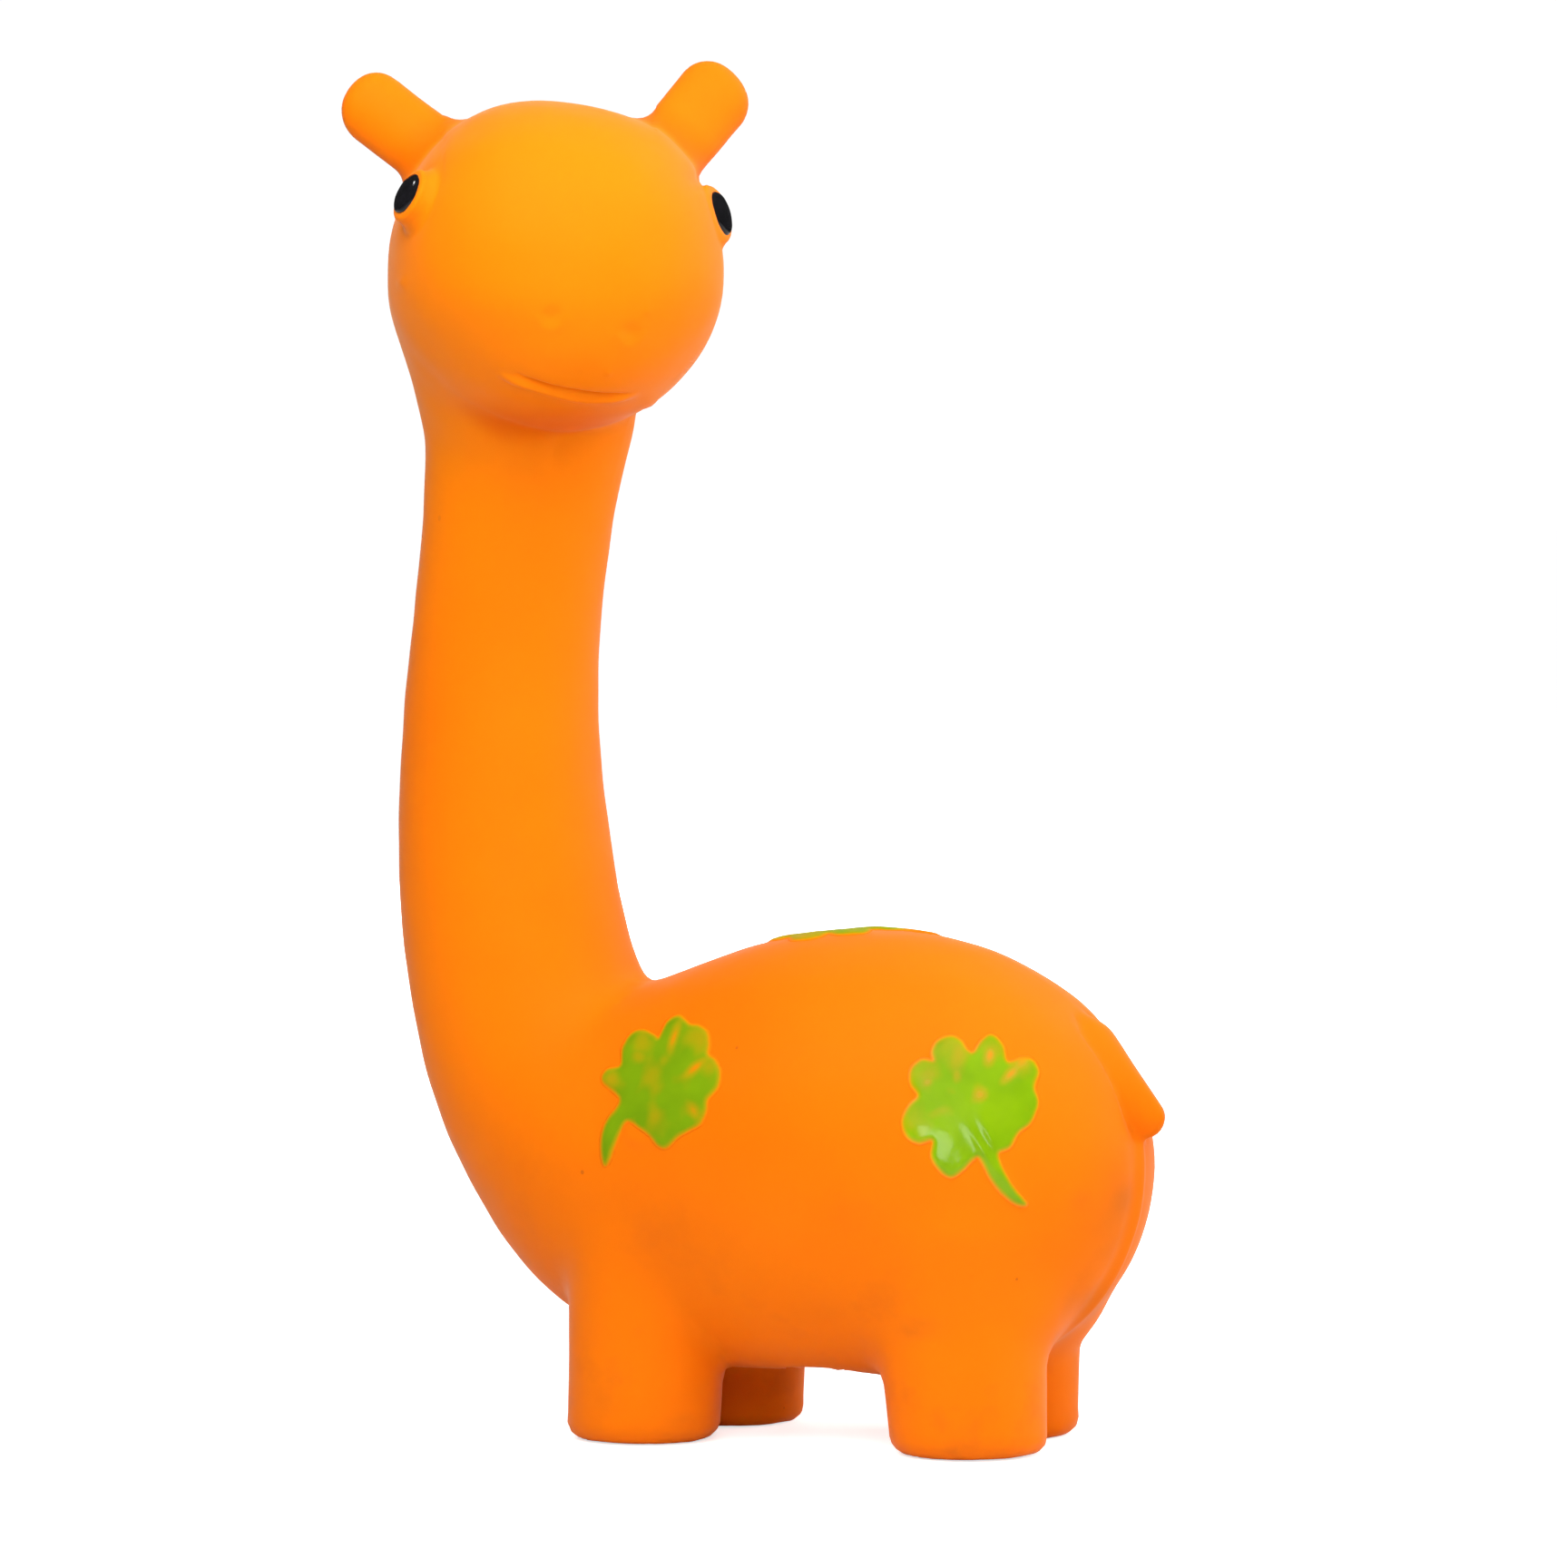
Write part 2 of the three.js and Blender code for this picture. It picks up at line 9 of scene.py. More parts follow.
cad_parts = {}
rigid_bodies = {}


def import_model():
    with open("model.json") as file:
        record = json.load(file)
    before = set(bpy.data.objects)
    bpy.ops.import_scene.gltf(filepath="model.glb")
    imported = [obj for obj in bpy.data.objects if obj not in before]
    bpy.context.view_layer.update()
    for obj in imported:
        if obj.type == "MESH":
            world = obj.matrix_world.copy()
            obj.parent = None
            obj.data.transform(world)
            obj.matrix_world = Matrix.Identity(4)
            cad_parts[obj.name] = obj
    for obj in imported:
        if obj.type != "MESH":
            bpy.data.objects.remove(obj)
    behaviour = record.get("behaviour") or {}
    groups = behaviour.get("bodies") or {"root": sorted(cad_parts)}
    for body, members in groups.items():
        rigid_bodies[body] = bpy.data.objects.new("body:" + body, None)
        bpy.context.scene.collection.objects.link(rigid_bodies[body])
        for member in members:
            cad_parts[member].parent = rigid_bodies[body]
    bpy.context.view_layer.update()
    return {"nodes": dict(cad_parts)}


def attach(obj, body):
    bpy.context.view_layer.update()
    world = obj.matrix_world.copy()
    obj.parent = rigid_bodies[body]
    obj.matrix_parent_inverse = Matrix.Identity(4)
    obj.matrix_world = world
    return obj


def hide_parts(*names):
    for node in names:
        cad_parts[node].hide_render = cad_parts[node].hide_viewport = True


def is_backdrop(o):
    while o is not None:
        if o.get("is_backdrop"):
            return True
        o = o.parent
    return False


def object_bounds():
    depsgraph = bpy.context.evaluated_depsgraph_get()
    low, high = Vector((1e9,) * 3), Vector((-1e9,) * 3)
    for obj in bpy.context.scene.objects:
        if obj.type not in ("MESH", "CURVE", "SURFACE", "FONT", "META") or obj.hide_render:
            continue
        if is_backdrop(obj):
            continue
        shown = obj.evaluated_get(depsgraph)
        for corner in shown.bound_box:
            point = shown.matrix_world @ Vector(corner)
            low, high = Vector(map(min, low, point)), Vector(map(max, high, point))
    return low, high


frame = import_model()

# The shape is described in millimetres in the mid-plane's own frame. SHIFT takes it
# to the row frame, whose origin is the middle of the bounding box at the soles.
SHIFT = np.array([1.7165, 4.2519, 0.0])


def world(p):
    return (np.asarray(p, float) + SHIFT) * 0.001


# ---------------------------------------------------------------- view of the photograph
CAM_AZ, CAM_PITCH, CAM_DIST = math.radians(22.0), math.radians(2.0), 1018.5
CAM_TARGET = np.array([0.0, 0.0, 85.1])
FOCAL_PX = 8583.0
PHOTO_W, PHOTO_H = 1716, 1728
CAM_C = np.array([math.sin(CAM_AZ) * math.cos(CAM_PITCH), -math.cos(CAM_AZ) * math.cos(CAM_PITCH), math.sin(CAM_PITCH)])
CAM_R = np.array([math.cos(CAM_AZ), math.sin(CAM_AZ), 0.0])
CAM_U = np.cross(CAM_C, CAM_R)


def to_px(p):
    q = np.asarray(p, float) - CAM_TARGET
    depth = CAM_DIST - q @ CAM_C
    return PHOTO_W / 2 + FOCAL_PX * (q @ CAM_R) / depth, PHOTO_H / 2 - FOCAL_PX * (q @ CAM_U) / depth


# ---------------------------------------------------------------- the latex figure as a distance field
# Spheres along the middle of neck and trunk: x, z, radius, width over height.
SPINE = np.array([
    (-33.35, 148.71, 12.95, 0.970), (-33.72, 146.00, 13.37, 0.970), (-34.30, 143.28, 13.41, 0.970), (-34.79, 140.56, 13.63, 0.970),
    (-35.11, 137.83, 14.04, 0.970), (-35.35, 135.11, 14.17, 0.970), (-35.64, 132.38, 13.79, 0.970), (-35.97, 129.66, 13.35, 0.970),
    (-36.34, 126.93, 13.01, 0.970), (-36.72, 124.20, 12.76, 0.970), (-37.09, 121.47, 12.58, 0.970), (-37.44, 118.74, 12.45, 0.970),
    (-37.78, 116.00, 12.38, 0.970), (-38.09, 113.27, 12.34, 0.970), (-38.38, 110.53, 12.34, 0.970), (-38.65, 107.79, 12.37, 0.970),
    (-38.88, 105.05, 12.42, 0.970), (-39.10, 102.31, 12.51, 0.970), (-39.28, 99.57, 12.62, 0.970), (-39.43, 96.82, 12.76, 0.970),
    (-39.54, 94.07, 12.91, 0.970), (-39.62, 91.32, 13.08, 0.970), (-39.66, 88.57, 13.26, 0.970), (-39.65, 85.82, 13.45, 0.970),
    (-39.60, 83.07, 13.64, 0.970), (-39.50, 80.32, 13.83, 0.970), (-39.34, 77.57, 14.02, 0.970), (-39.13, 74.82, 14.19, 0.970),
    (-38.86, 72.08, 14.36, 0.970), (-38.53, 69.35, 14.51, 0.970), (-38.13, 66.62, 14.66, 0.970), (-37.66, 63.90, 14.82, 0.969),
    (-37.11, 61.20, 14.99, 0.967), (-36.46, 58.52, 15.18, 0.964), (-35.70, 55.88, 15.43, 0.961), (-34.78, 53.30, 15.73, 0.957),
    (-33.68, 50.80, 16.12, 0.952), (-32.35, 48.41, 16.61, 0.947), (-30.77, 46.15, 17.21, 0.942), (-28.95, 44.04, 17.91, 0.937),
    (-26.94, 42.10, 18.70, 0.933), (-24.80, 40.33, 19.58, 0.929), (-22.56, 38.74, 20.55, 0.925), (-20.21, 37.37, 21.61, 0.922),
    (-17.71, 36.25, 22.68, 0.921), (-15.09, 35.43, 23.73, 0.920), (-12.38, 34.95, 24.67, 0.920), (-9.64, 34.79, 25.51, 0.920),
    (-6.89, 34.91, 26.21, 0.920), (-4.15, 35.26, 26.81, 0.920), (-1.44, 35.72, 27.34, 0.920), (1.28, 36.21, 27.83, 0.920),
    (3.99, 36.63, 28.28, 0.920), (6.72, 36.96, 28.62, 0.920), (9.47, 37.18, 28.81, 0.920), (12.22, 37.28, 28.87, 0.920),
    (14.98, 37.25, 28.85, 0.920), (17.73, 37.09, 28.76, 0.920), (20.46, 36.76, 28.43, 0.920), (23.14, 36.21, 27.57, 0.920)])

WALL = 2.6


def natural_spline(t, y, tt):
    """Natural cubic spline through (t, y), read at tt."""
    n, h = len(t), np.diff(t)
    a = np.zeros((n, n)); r = np.zeros((n,) + y.shape[1:])
    a[0, 0] = a[-1, -1] = 1
    for i in range(1, n - 1):
        a[i, i - 1], a[i, i], a[i, i + 1] = h[i - 1], 2 * (h[i - 1] + h[i]), h[i]
        r[i] = 6 * ((y[i + 1] - y[i]) / h[i] - (y[i] - y[i - 1]) / h[i - 1])
    m = np.linalg.solve(a, r)
    k = np.clip(np.searchsorted(t, tt) - 1, 0, n - 2)
    d, e, hk = (tt - t[k])[:, None], (t[k + 1] - tt)[:, None], h[k][:, None]
    return (m[k] * e ** 3 + m[k + 1] * d ** 3) / (6 * hk) + (y[k] / hk - m[k] * hk / 6) * e + (y[k + 1] / hk - m[k + 1] * hk / 6) * d


_t = np.arange(len(SPINE), dtype=float)
_s = natural_spline(_t, SPINE, np.linspace(0, len(SPINE) - 1, 220))
SX, SZ, SR, SK = _s.T


def sweep(p):
    """Distance to the surface swept by the spine's spheres. Points are taken cell by cell so that each meets only the spheres near it."""
    out = np.empty(len(p))
    cell = np.floor(p / 9.0).astype(np.int64)
    key = (cell[:, 0] + 64) * 65536 + (cell[:, 1] + 64) * 256 + (cell[:, 2] + 64)
    order = np.argsort(key, kind="stable")
    cuts = np.r_[0, np.nonzero(np.diff(key[order]))[0] + 1, len(p)]
    for a, b in zip(cuts[:-1], cuts[1:]):
        if a == b:
            continue
        ids = order[a:b]
        q = p[ids]
        c = q.mean(0)
        rad = np.sqrt(((q - c) ** 2).sum(1).max()) * 1.1
        fc = np.sqrt((c[0] - SX) ** 2 + (c[1] / SK) ** 2 + (c[2] - SZ) ** 2) - SR
        keep = np.nonzero(fc <= fc.min() + 2 * rad + 0.5)[0]
        lo, hi = max(keep[0] - 2, 0), min(keep[-1] + 3, len(SX))
        f = np.sqrt((q[:, :1] - SX[lo:hi]) ** 2 + (q[:, 1:2] / SK[lo:hi]) ** 2 + (q[:, 2:] - SZ[lo:hi]) ** 2) - SR[lo:hi]
        j = np.clip(np.argmin(f, 1), 1, f.shape[1] - 2)
        i = np.arange(len(q))
        f0, f1, f2 = f[i, j - 1], f[i, j], f[i, j + 1]
        den = f0 - 2 * f1 + f2
        t = np.clip(0.5 * (f0 - f2) / np.where(np.abs(den) < 1e-9, 1e-9, den), -1, 1)
        out[ids] = np.minimum(f1 - 0.25 * (f0 - f2) * t, f.min(1))
    return out


def smin(a, b, k):
    h = np.maximum(k - np.abs(a - b), 0) / k
    return np.minimum(a, b) - h * h * k * 0.25


def smoothstep(x):
    x = np.clip(x, 0, 1)
    return x * x * (3 - 2 * x)


# Head: egg with its own axes, turned to the toy's left.
HEAD_TURN = math.radians(32.0)
HEAD_F = np.array([math.sin(HEAD_TURN), -math.cos(HEAD_TURN), 0.0])
HEAD_S = np.array([math.cos(HEAD_TURN), math.sin(HEAD_TURN), 0.0])
HEAD_C = np.array([-27.732, -9.248, 151.378])
HEAD_SIDE, HEAD_FRONT, HEAD_BACK, HEAD_TOP, HEAD_LOW, HEAD_POWER = 21.7, 26.5, 25.5, 22.9, 20.5, 2.2


def head_axes(p):
    q = p - HEAD_C
    return q @ HEAD_S, q @ HEAD_F, q[:, 2]


def head(p):
    x, y, z = head_axes(p)
    n = np.where(z > 0, HEAD_POWER, 2.0 + (HEAD_POWER - 2.0) * np.exp(-(z / 6.0) ** 2))
    b = np.where(y > 0, HEAD_FRONT, HEAD_BACK)
    c = np.where(z > 0, HEAD_TOP, HEAD_LOW)
    X, Y, Z = np.abs(x / HEAD_SIDE) + 1e-9, np.abs(y / b) + 1e-9, np.abs(z / c) + 1e-9
    s = X ** n + Y ** n + Z ** n
    g, k = s ** (1 / n), s ** (1 / n - 1)
    grad = np.sqrt((k * X ** (n - 1) / HEAD_SIDE) ** 2 + (k * Y ** (n - 1) / b) ** 2 + (k * Z ** (n - 1) / c) ** 2)
    return (g - 1) / np.maximum(grad, 1e-4)


def round_cone(p, a, b, r1, r2):
    a, b = np.asarray(a, float), np.asarray(b, float)
    ba = b - a
    l2 = ba @ ba
    rr = r1 - r2
    a2, il2 = l2 - rr * rr, 1 / l2
    pa = p - a
    y = pa @ ba
    z = y - l2
    v = pa * l2 - y[:, None] * ba
    x2 = (v * v).sum(1)
    y2, z2 = y * y * l2, z * z * l2
    k = np.sign(rr) * rr * rr * x2
    d = (np.sqrt(x2 * a2 * il2) + y * rr) * il2 - r1
    d = np.where(np.sign(y) * a2 * y2 < k, np.sqrt(x2 + y2) * il2 - r1, d)
    return np.where(np.sign(z) * a2 * z2 > k, np.sqrt(x2 + z2) * il2 - r2, d)


def flat_cone(p, a, b, r1, r2, nrm, q):
    a = np.asarray(a, float)
    p2 = p + ((1 / q - 1) * ((p - a) @ nrm))[:, None] * nrm
    b2 = np.asarray(b, float)
    b2 = b2 + (1 / q - 1) * ((b2 - a) @ nrm) * nrm
    return round_cone(p2, a, b2, r1, r2) * (0.5 + 0.5 * q)


# Ears: root, its radius, two tips with their radii.
EAR_A = ([-43.60, -11.10, 166.95], 4.58, ([-52.42, -11.31, 175.08], 3.3), ([-52.38, -11.37, 173.35], 4.67))
EAR_B = ([-15.18, -2.50, 167.26], 4.92, ([-11.00, 4.85, 174.27], 4.47), ([-11.91, 4.54, 175.74], 4.14))


def ear(p, e):
    root, r, one, two = e
    return smin(flat_cone(p, root, one[0], r, one[1], HEAD_F, 0.72), flat_cone(p, root, two[0], r, two[1], HEAD_F, 0.72), 0.7)


def unit(v):
    v = np.asarray(v, float)
    return v / np.linalg.norm(v)


# Eyes: middle of the painted face, its direction, dome height, radius of the paint, flare of the boss.
EYES = {
    "right": (np.array([-40.396, -28.436, 161.734]), unit([-0.6081, -0.6839, 0.3995]), 0.55, 2.78, 0.42),
    "left": (np.array([-5.271, -6.558, 159.497]), unit([0.9592, 0.0419, 0.2793]), 0.60, 3.02, 0.26),
}
BOSS_R, BOSS_LEN = 3.65, 6.5


def boss(p, eye, rr=0.55):
    c, n, flare = eye[0], eye[1], eye[4]
    q = p - c
    t = q @ n
    rad = np.sqrt(np.maximum((q * q).sum(1) - t * t, 0)) - flare * np.clip(-t - 0.9, 0, 3.0)
    qx, qz = rad - (BOSS_R - rr), np.abs(t + BOSS_LEN / 2 + 0.3) - (BOSS_LEN / 2 - rr)
    return np.hypot(np.maximum(qx, 0), np.maximum(qz, 0)) + np.minimum(np.maximum(qx, qz), 0) - rr


# Legs: foot x, y, foot radius, top radius, sole edge, top x, blend into the belly.
LEGS = [
    (-14.4, -11.3, 9.85, 10.8, 2.3, -13.6, 1.8),
    (-11.7, 11.2, 9.8, 10.3, 1.9, -10.8, 1.8),
    (31.0, -11.3, 10.0, 11.2, 2.1, 29.2, 4.6),
    (27.3, 11.2, 9.8, 10.5, 1.9, 26.8, 6.0),
]


def leg(p, l):
    x0, y0, rb, rt, rr, xt, _ = l
    t = np.clip(p[:, 2] / 24, 0, 1)
    rad = np.hypot(p[:, 0] - (x0 + (xt - x0) * t), p[:, 1] - y0)
    qx, qz = rad - (rb + (rt - rb) * t - rr), np.abs(p[:, 2] - 15) - (15 - rr)
    return np.hypot(np.maximum(qx, 0), np.maximum(qz, 0)) + np.minimum(np.maximum(qx, qz), 0) - rr


TAIL = ([42.631, 0, 51.021], [50.938, 0, 42.943], 4.4, 2.5)


def trunk(p):
    """Neck, body and head; with the legs added to it, what is hollow inside."""
    x, y, z = head_axes(p)
    ang = np.arctan2(y, x)
    w = np.clip(0.5 - 0.5 * np.cos(ang - math.radians(35)), 0, 1)
    v = np.clip(0.5 - 0.5 * np.cos(ang - math.radians(15)), 0, 1)
    d = smin(sweep(p), head(p), 1.6 + 2.4 * w + 6.0 * v ** 4)
    return d


def add_legs(p, d):
    for l in LEGS:
        d = smin(d, leg(p, l), l[6])
    for side in (-1, 1):
        q = p - np.array([33.7, 9.0 * side, 20.8])
        d = smin(d, np.sqrt((q * q).sum(1)) - 8.1, 3.6)
    return d


def outside(p):
    p = np.asarray(p, float)
    d = trunk(p)
    d = smin(d, ear(p, EAR_A), 2.8)
    d = smin(d, ear(p, EAR_B), 2.6)
    for eye in EYES.values():
        d = smin(d, boss(p, eye), 1.2)
    d = add_legs(p, d)
    return smin(d, round_cone(p, *TAIL), 1.4)


PLUG_X = 8.4


def moulding(p):
    """The whole moulding: outside, hollow, the ring that grips the squeaker, its seat and hole."""
    p = np.asarray(p, float)
    d = trunk(p)
    inner = add_legs(p, d) + WALL
    d = smin(d, ear(p, EAR_A), 2.8)
    d = smin(d, ear(p, EAR_B), 2.6)
    for eye in EYES.values():
        d = smin(d, boss(p, eye), 1.2)
    d = add_legs(p, d)
    d = smin(d, round_cone(p, *TAIL), 1.4)
    rad = np.hypot(p[:, 0] - PLUG_X, p[:, 1])
    z = p[:, 2]
    inner = np.maximum(inner, -np.maximum(rad - 8.0, z - 14.9))
    d = np.maximum(d, -inner)
    d = np.maximum(d, -np.maximum(rad - 7.3, z - 10.9))
    return np.maximum(d, -np.maximum(rad - 5.05, z - 17.0))


def gradient(f, p, e=0.05):
    g = np.zeros_like(p)
    for k in ((1, -1, -1), (-1, -1, 1), (-1, 1, -1), (1, 1, 1)):
        k = np.array(k, float)
        g += k * f(p + k * e)[:, None]
    return g / (4 * e)


def onto(f, p, rounds=2):
    for _ in range(rounds):
        v, g = f(p), gradient(f, p)
        step = (v / np.maximum((g * g).sum(1), 1e-2))[:, None] * g
        size = np.sqrt((step * step).sum(1, keepdims=True))
        p = p - step * np.minimum(1, 1.0 / np.maximum(size, 1e-9))
    return p


def surface_nets(f, lo, hi, h, coarse=4):
    """Quad mesh of f = 0 on a grid of pitch h; f is read only near the surface."""
    n = [int(math.ceil((b - a) / h)) + 1 for a, b in zip(lo, hi)]
    g = [a + h * np.arange(k) for a, k in zip(lo, n)]
    cg = [np.r_[x[::coarse], x[::coarse][-1] + coarse * h] for x in g]
    pts = np.stack(np.meshgrid(*cg, indexing="ij"), -1).reshape(-1, 3)
    val = f(pts).reshape([len(c) for c in cg])
    near = np.abs(val) < coarse * h * 2.0
    blk = np.zeros([s - 1 for s in val.shape], bool)
    for i in (0, 1):
        for j in (0, 1):
            for k in (0, 1):
                blk |= near[i:i + blk.shape[0], j:j + blk.shape[1], k:k + blk.shape[2]]
    sgn = val[:-1, :-1, :-1]
    for ax in range(3):
        blk, sgn = np.repeat(blk, coarse, ax), np.repeat(sgn, coarse, ax)
    blk, sgn = blk[:n[0], :n[1], :n[2]], sgn[:n[0], :n[1], :n[2]]
    F = np.where(sgn > 0, 10.0, -10.0)
    I = np.nonzero(blk)
    F[I] = f(np.stack([g[0][I[0]], g[1][I[1]], g[2][I[2]]], -1))
    S = F < 0
    cnt = np.zeros([k - 1 for k in n], int)
    for i in (0, 1):
        for j in (0, 1):
            for k in (0, 1):
                cnt += S[i:i + n[0] - 1, j:j + n[1] - 1, k:k + n[2] - 1]
    act = (cnt > 0) & (cnt < 8)
    ids = -np.ones(act.shape, int)
    ids[act] = np.arange(act.sum())
    A = np.argwhere(act)
    acc, m = np.zeros((len(A), 3)), np.zeros(len(A))
    for a in [(i, j, k) for i in (0, 1) for j in (0, 1) for k in (0, 1)]:
        for ax in range(3):
            if a[ax]:
                continue
            b = list(a)
            b[ax] = 1
            fa = F[A[:, 0] + a[0], A[:, 1] + a[1], A[:, 2] + a[2]]
            fb = F[A[:, 0] + b[0], A[:, 1] + b[1], A[:, 2] + b[2]]
            sel = (fa < 0) != (fb < 0)
            q = np.tile(np.array(a, float), (len(A), 1))
            q[:, ax] += np.where(sel, fa / np.where(sel, fa - fb, 1), 0)
            acc[sel] += q[sel]
            m[sel] += 1
    verts = np.array(lo) + h * (A + acc / m[:, None])
    quads = []
    for ax in range(3):
        u, v = (ax + 1) % 3, (ax + 2) % 3
        r = [None] * 3
        r[ax], r[u], r[v] = np.arange(0, n[ax] - 1), np.arange(1, n[u] - 1), np.arange(1, n[v] - 1)
        e = [0, 0, 0]
        e[ax] = 1
        sa = S[np.ix_(*r)]
        ch = sa != S[np.ix_(r[0] + e[0], r[1] + e[1], r[2] + e[2])]
        Q = np.argwhere(ch)
        if not len(Q):
            continue
        gp = np.stack([r[i][Q[:, i]] for i in range(3)], 1)
        du, dv = np.zeros(3, int), np.zeros(3, int)
        du[u] = dv[v] = 1
        q = np.stack([ids[tuple((gp - o).T)] for o in (du * 0, du, du + dv, dv)], 1)
        flip = sa[ch]
        q[~flip] = q[~flip][:, ::-1]
        quads.append(q)
    return verts, np.concatenate(quads)


def split_quads(verts, quads, ngons, marked):
    """Marked quads become four; a neighbour takes the new edge points into its own outline."""
    q = quads[marked]
    e = np.sort(np.stack([q, np.roll(q, -1, 1)], -1).reshape(-1, 2), 1)
    key = e[:, 0] * 10_000_000 + e[:, 1]
    uk, inv = np.unique(key, return_inverse=True)
    first = np.stack([uk // 10_000_000, uk % 10_000_000], 1)
    mid0 = len(verts)
    mids = (verts[first[:, 0]] + verts[first[:, 1]]) / 2
    cen0 = mid0 + len(mids)
    verts = np.vstack([verts, mids, verts[q].mean(1)])
    m = (mid0 + inv).reshape(-1, 4)
    c = cen0 + np.arange(len(q))
    new = np.concatenate([np.stack([q[:, i], m[:, i], c, m[:, i - 1]], 1) for i in range(4)])
    rest = quads[~marked]
    rk = np.sort(np.stack([rest, np.roll(rest, -1, 1)], -1).reshape(-1, 2), 1)
    rk = (rk[:, 0] * 10_000_000 + rk[:, 1]).reshape(-1, 4)
    hit = np.isin(rk, uk)
    touched = hit.any(1)
    known = {int(k): mid0 + i for i, k in enumerate(uk)}
    out = []
    for face, keys in zip(rest[touched], rk[touched]):
        poly = []
        for v, k in zip(face, keys):
            poly.append(int(v))
            if int(k) in known:
                poly.append(known[int(k)])
        out.append(poly)
    for face in ngons:
        poly = []
        for i, v in enumerate(face):
            w = face[(i + 1) % len(face)]
            poly.append(v)
            k = min(v, w) * 10_000_000 + max(v, w)
            if k in known:
                poly.append(known[k])
        out.append(poly)
    return verts, np.concatenate([new, rest[~touched]]), out


# ---------------------------------------------------------------- clovers
CLOVER_A = [
    [-7.24, -10.51], [-7.59, -7.82], [-7.0, -5.25], [-5.14, -2.22], [-7.47, -0.12], [-7.0, 1.28],
    [-5.14, 1.98], [-4.9, 4.09], [-3.74, 5.95], [-2.22, 6.42], [-0.82, 5.84], [-0.12, 5.6],
    [0.93, 7.59], [2.45, 8.4], [3.74, 7.47], [5.02, 7.35], [6.07, 6.65], [6.3, 5.25],
    [6.19, 3.97], [7.12, 3.27], [7.7, 1.75], [7.35, -0.12], [6.19, -1.52], [5.95, -2.92],
    [5.25, -4.55], [3.85, -5.49], [2.33, -6.42], [0.93, -7.82], [-0.12, -7.7], [-1.17, -6.42],
    [-2.57, -5.49], [-4.2, -4.79], [-5.14, -6.19], [-5.95, -8.05], [-6.54, -9.69]]
CLOVER_B = [
    [6.44, -12.3], [4.94, -10.46], [3.56, -8.16], [2.87, -5.86], [4.37, -5.06], [5.4, -3.33],
    [7.01, -1.95], [7.93, 0.34], [7.47, 2.3], [8.05, 4.14], [7.24, 5.63], [5.86, 5.86],
    [4.14, 5.52], [3.56, 7.47], [2.18, 8.74], [0.92, 8.05], [-0.11, 6.67], [-0.92, 6.9],
    [-1.72, 8.05], [-3.1, 8.62], [-4.6, 8.05], [-5.4, 6.78], [-5.29, 5.63], [-6.78, 5.75],
    [-8.05, 4.6], [-8.16, 2.87], [-7.24, 1.38], [-8.39, 0.0], [-9.2, -1.84], [-8.62, -3.68],
    [-7.13, -4.48], [-5.4, -4.14], [-5.52, -6.21], [-4.48, -7.93], [-3.1, -8.74], [-1.61, -7.82],
    [-0.34, -6.55], [0.57, -6.44], [1.95, -8.97], [3.45, -10.92], [5.29, -12.3]]
# Thin places in the paint: x, y, half length, half width, direction in degrees, how thin.
THIN_A = [(1.96, 5.6, 1.5, 0.42, 70, 1.0), (4.7, 2.2, 1.7, 0.42, 38, 0.95), (4.45, -3.1, 0.9, 0.55, -60, 0.8),
          (-2.1, 4.9, 1.1, 0.8, 60, 0.55), (-2.6, 3.0, 0.7, 0.6, 0, 0.5), (-6.2, 0.0, 1.0, 0.9, 0, 0.6),
          (-0.95, 0.9, 0.9, 1.7, 0, 0.5), (-0.4, -4.2, 0.8, 1.4, 0, 0.5), (5.1, 5.6, 1.3, 1.3, 0, 0.6),
          (6.6, 2.3, 0.9, 0.9, 0, 0.5), (0.6, 3.0, 0.8, 0.6, 30, 0.3)]
THIN_B = [(1.86, 6.1, 1.0, 0.6, 80, 1.0), (4.5, 3.9, 1.3, 0.5, 42, 0.95), (6.0, 5.2, 1.2, 0.8, 20, 0.75),
          (0.55, 1.5, 0.8, 0.75, 60, 0.8), (-6.0, 3.0, 0.6, 0.45, 20, 0.8), (-6.3, 3.9, 1.6, 1.1, 0, 0.55),
          (-2.2, 6.4, 1.2, 1.7, 0, 0.6), (-2.3, 3.8, 0.5, 0.8, 0, 0.5), (-8.1, -2.3, 0.7, 0.9, 0, 0.4),
          (-4.9, -0.7, 1.4, 0.6, 25, 0.4), (-2.9, 1.8, 1.2, 0.5, -20, 0.25), (-6.3, 4.2, 2.2, 1.9, 0, 0.42),
          (-3.0, 6.8, 1.7, 2.2, 0, 0.42), (2.2, 7.2, 1.6, 1.4, 0, 0.40), (-7.6, -1.6, 1.9, 2.2, 0, 0.34), (6.6, 4.6, 1.3, 1.2, 0, 0.45)]
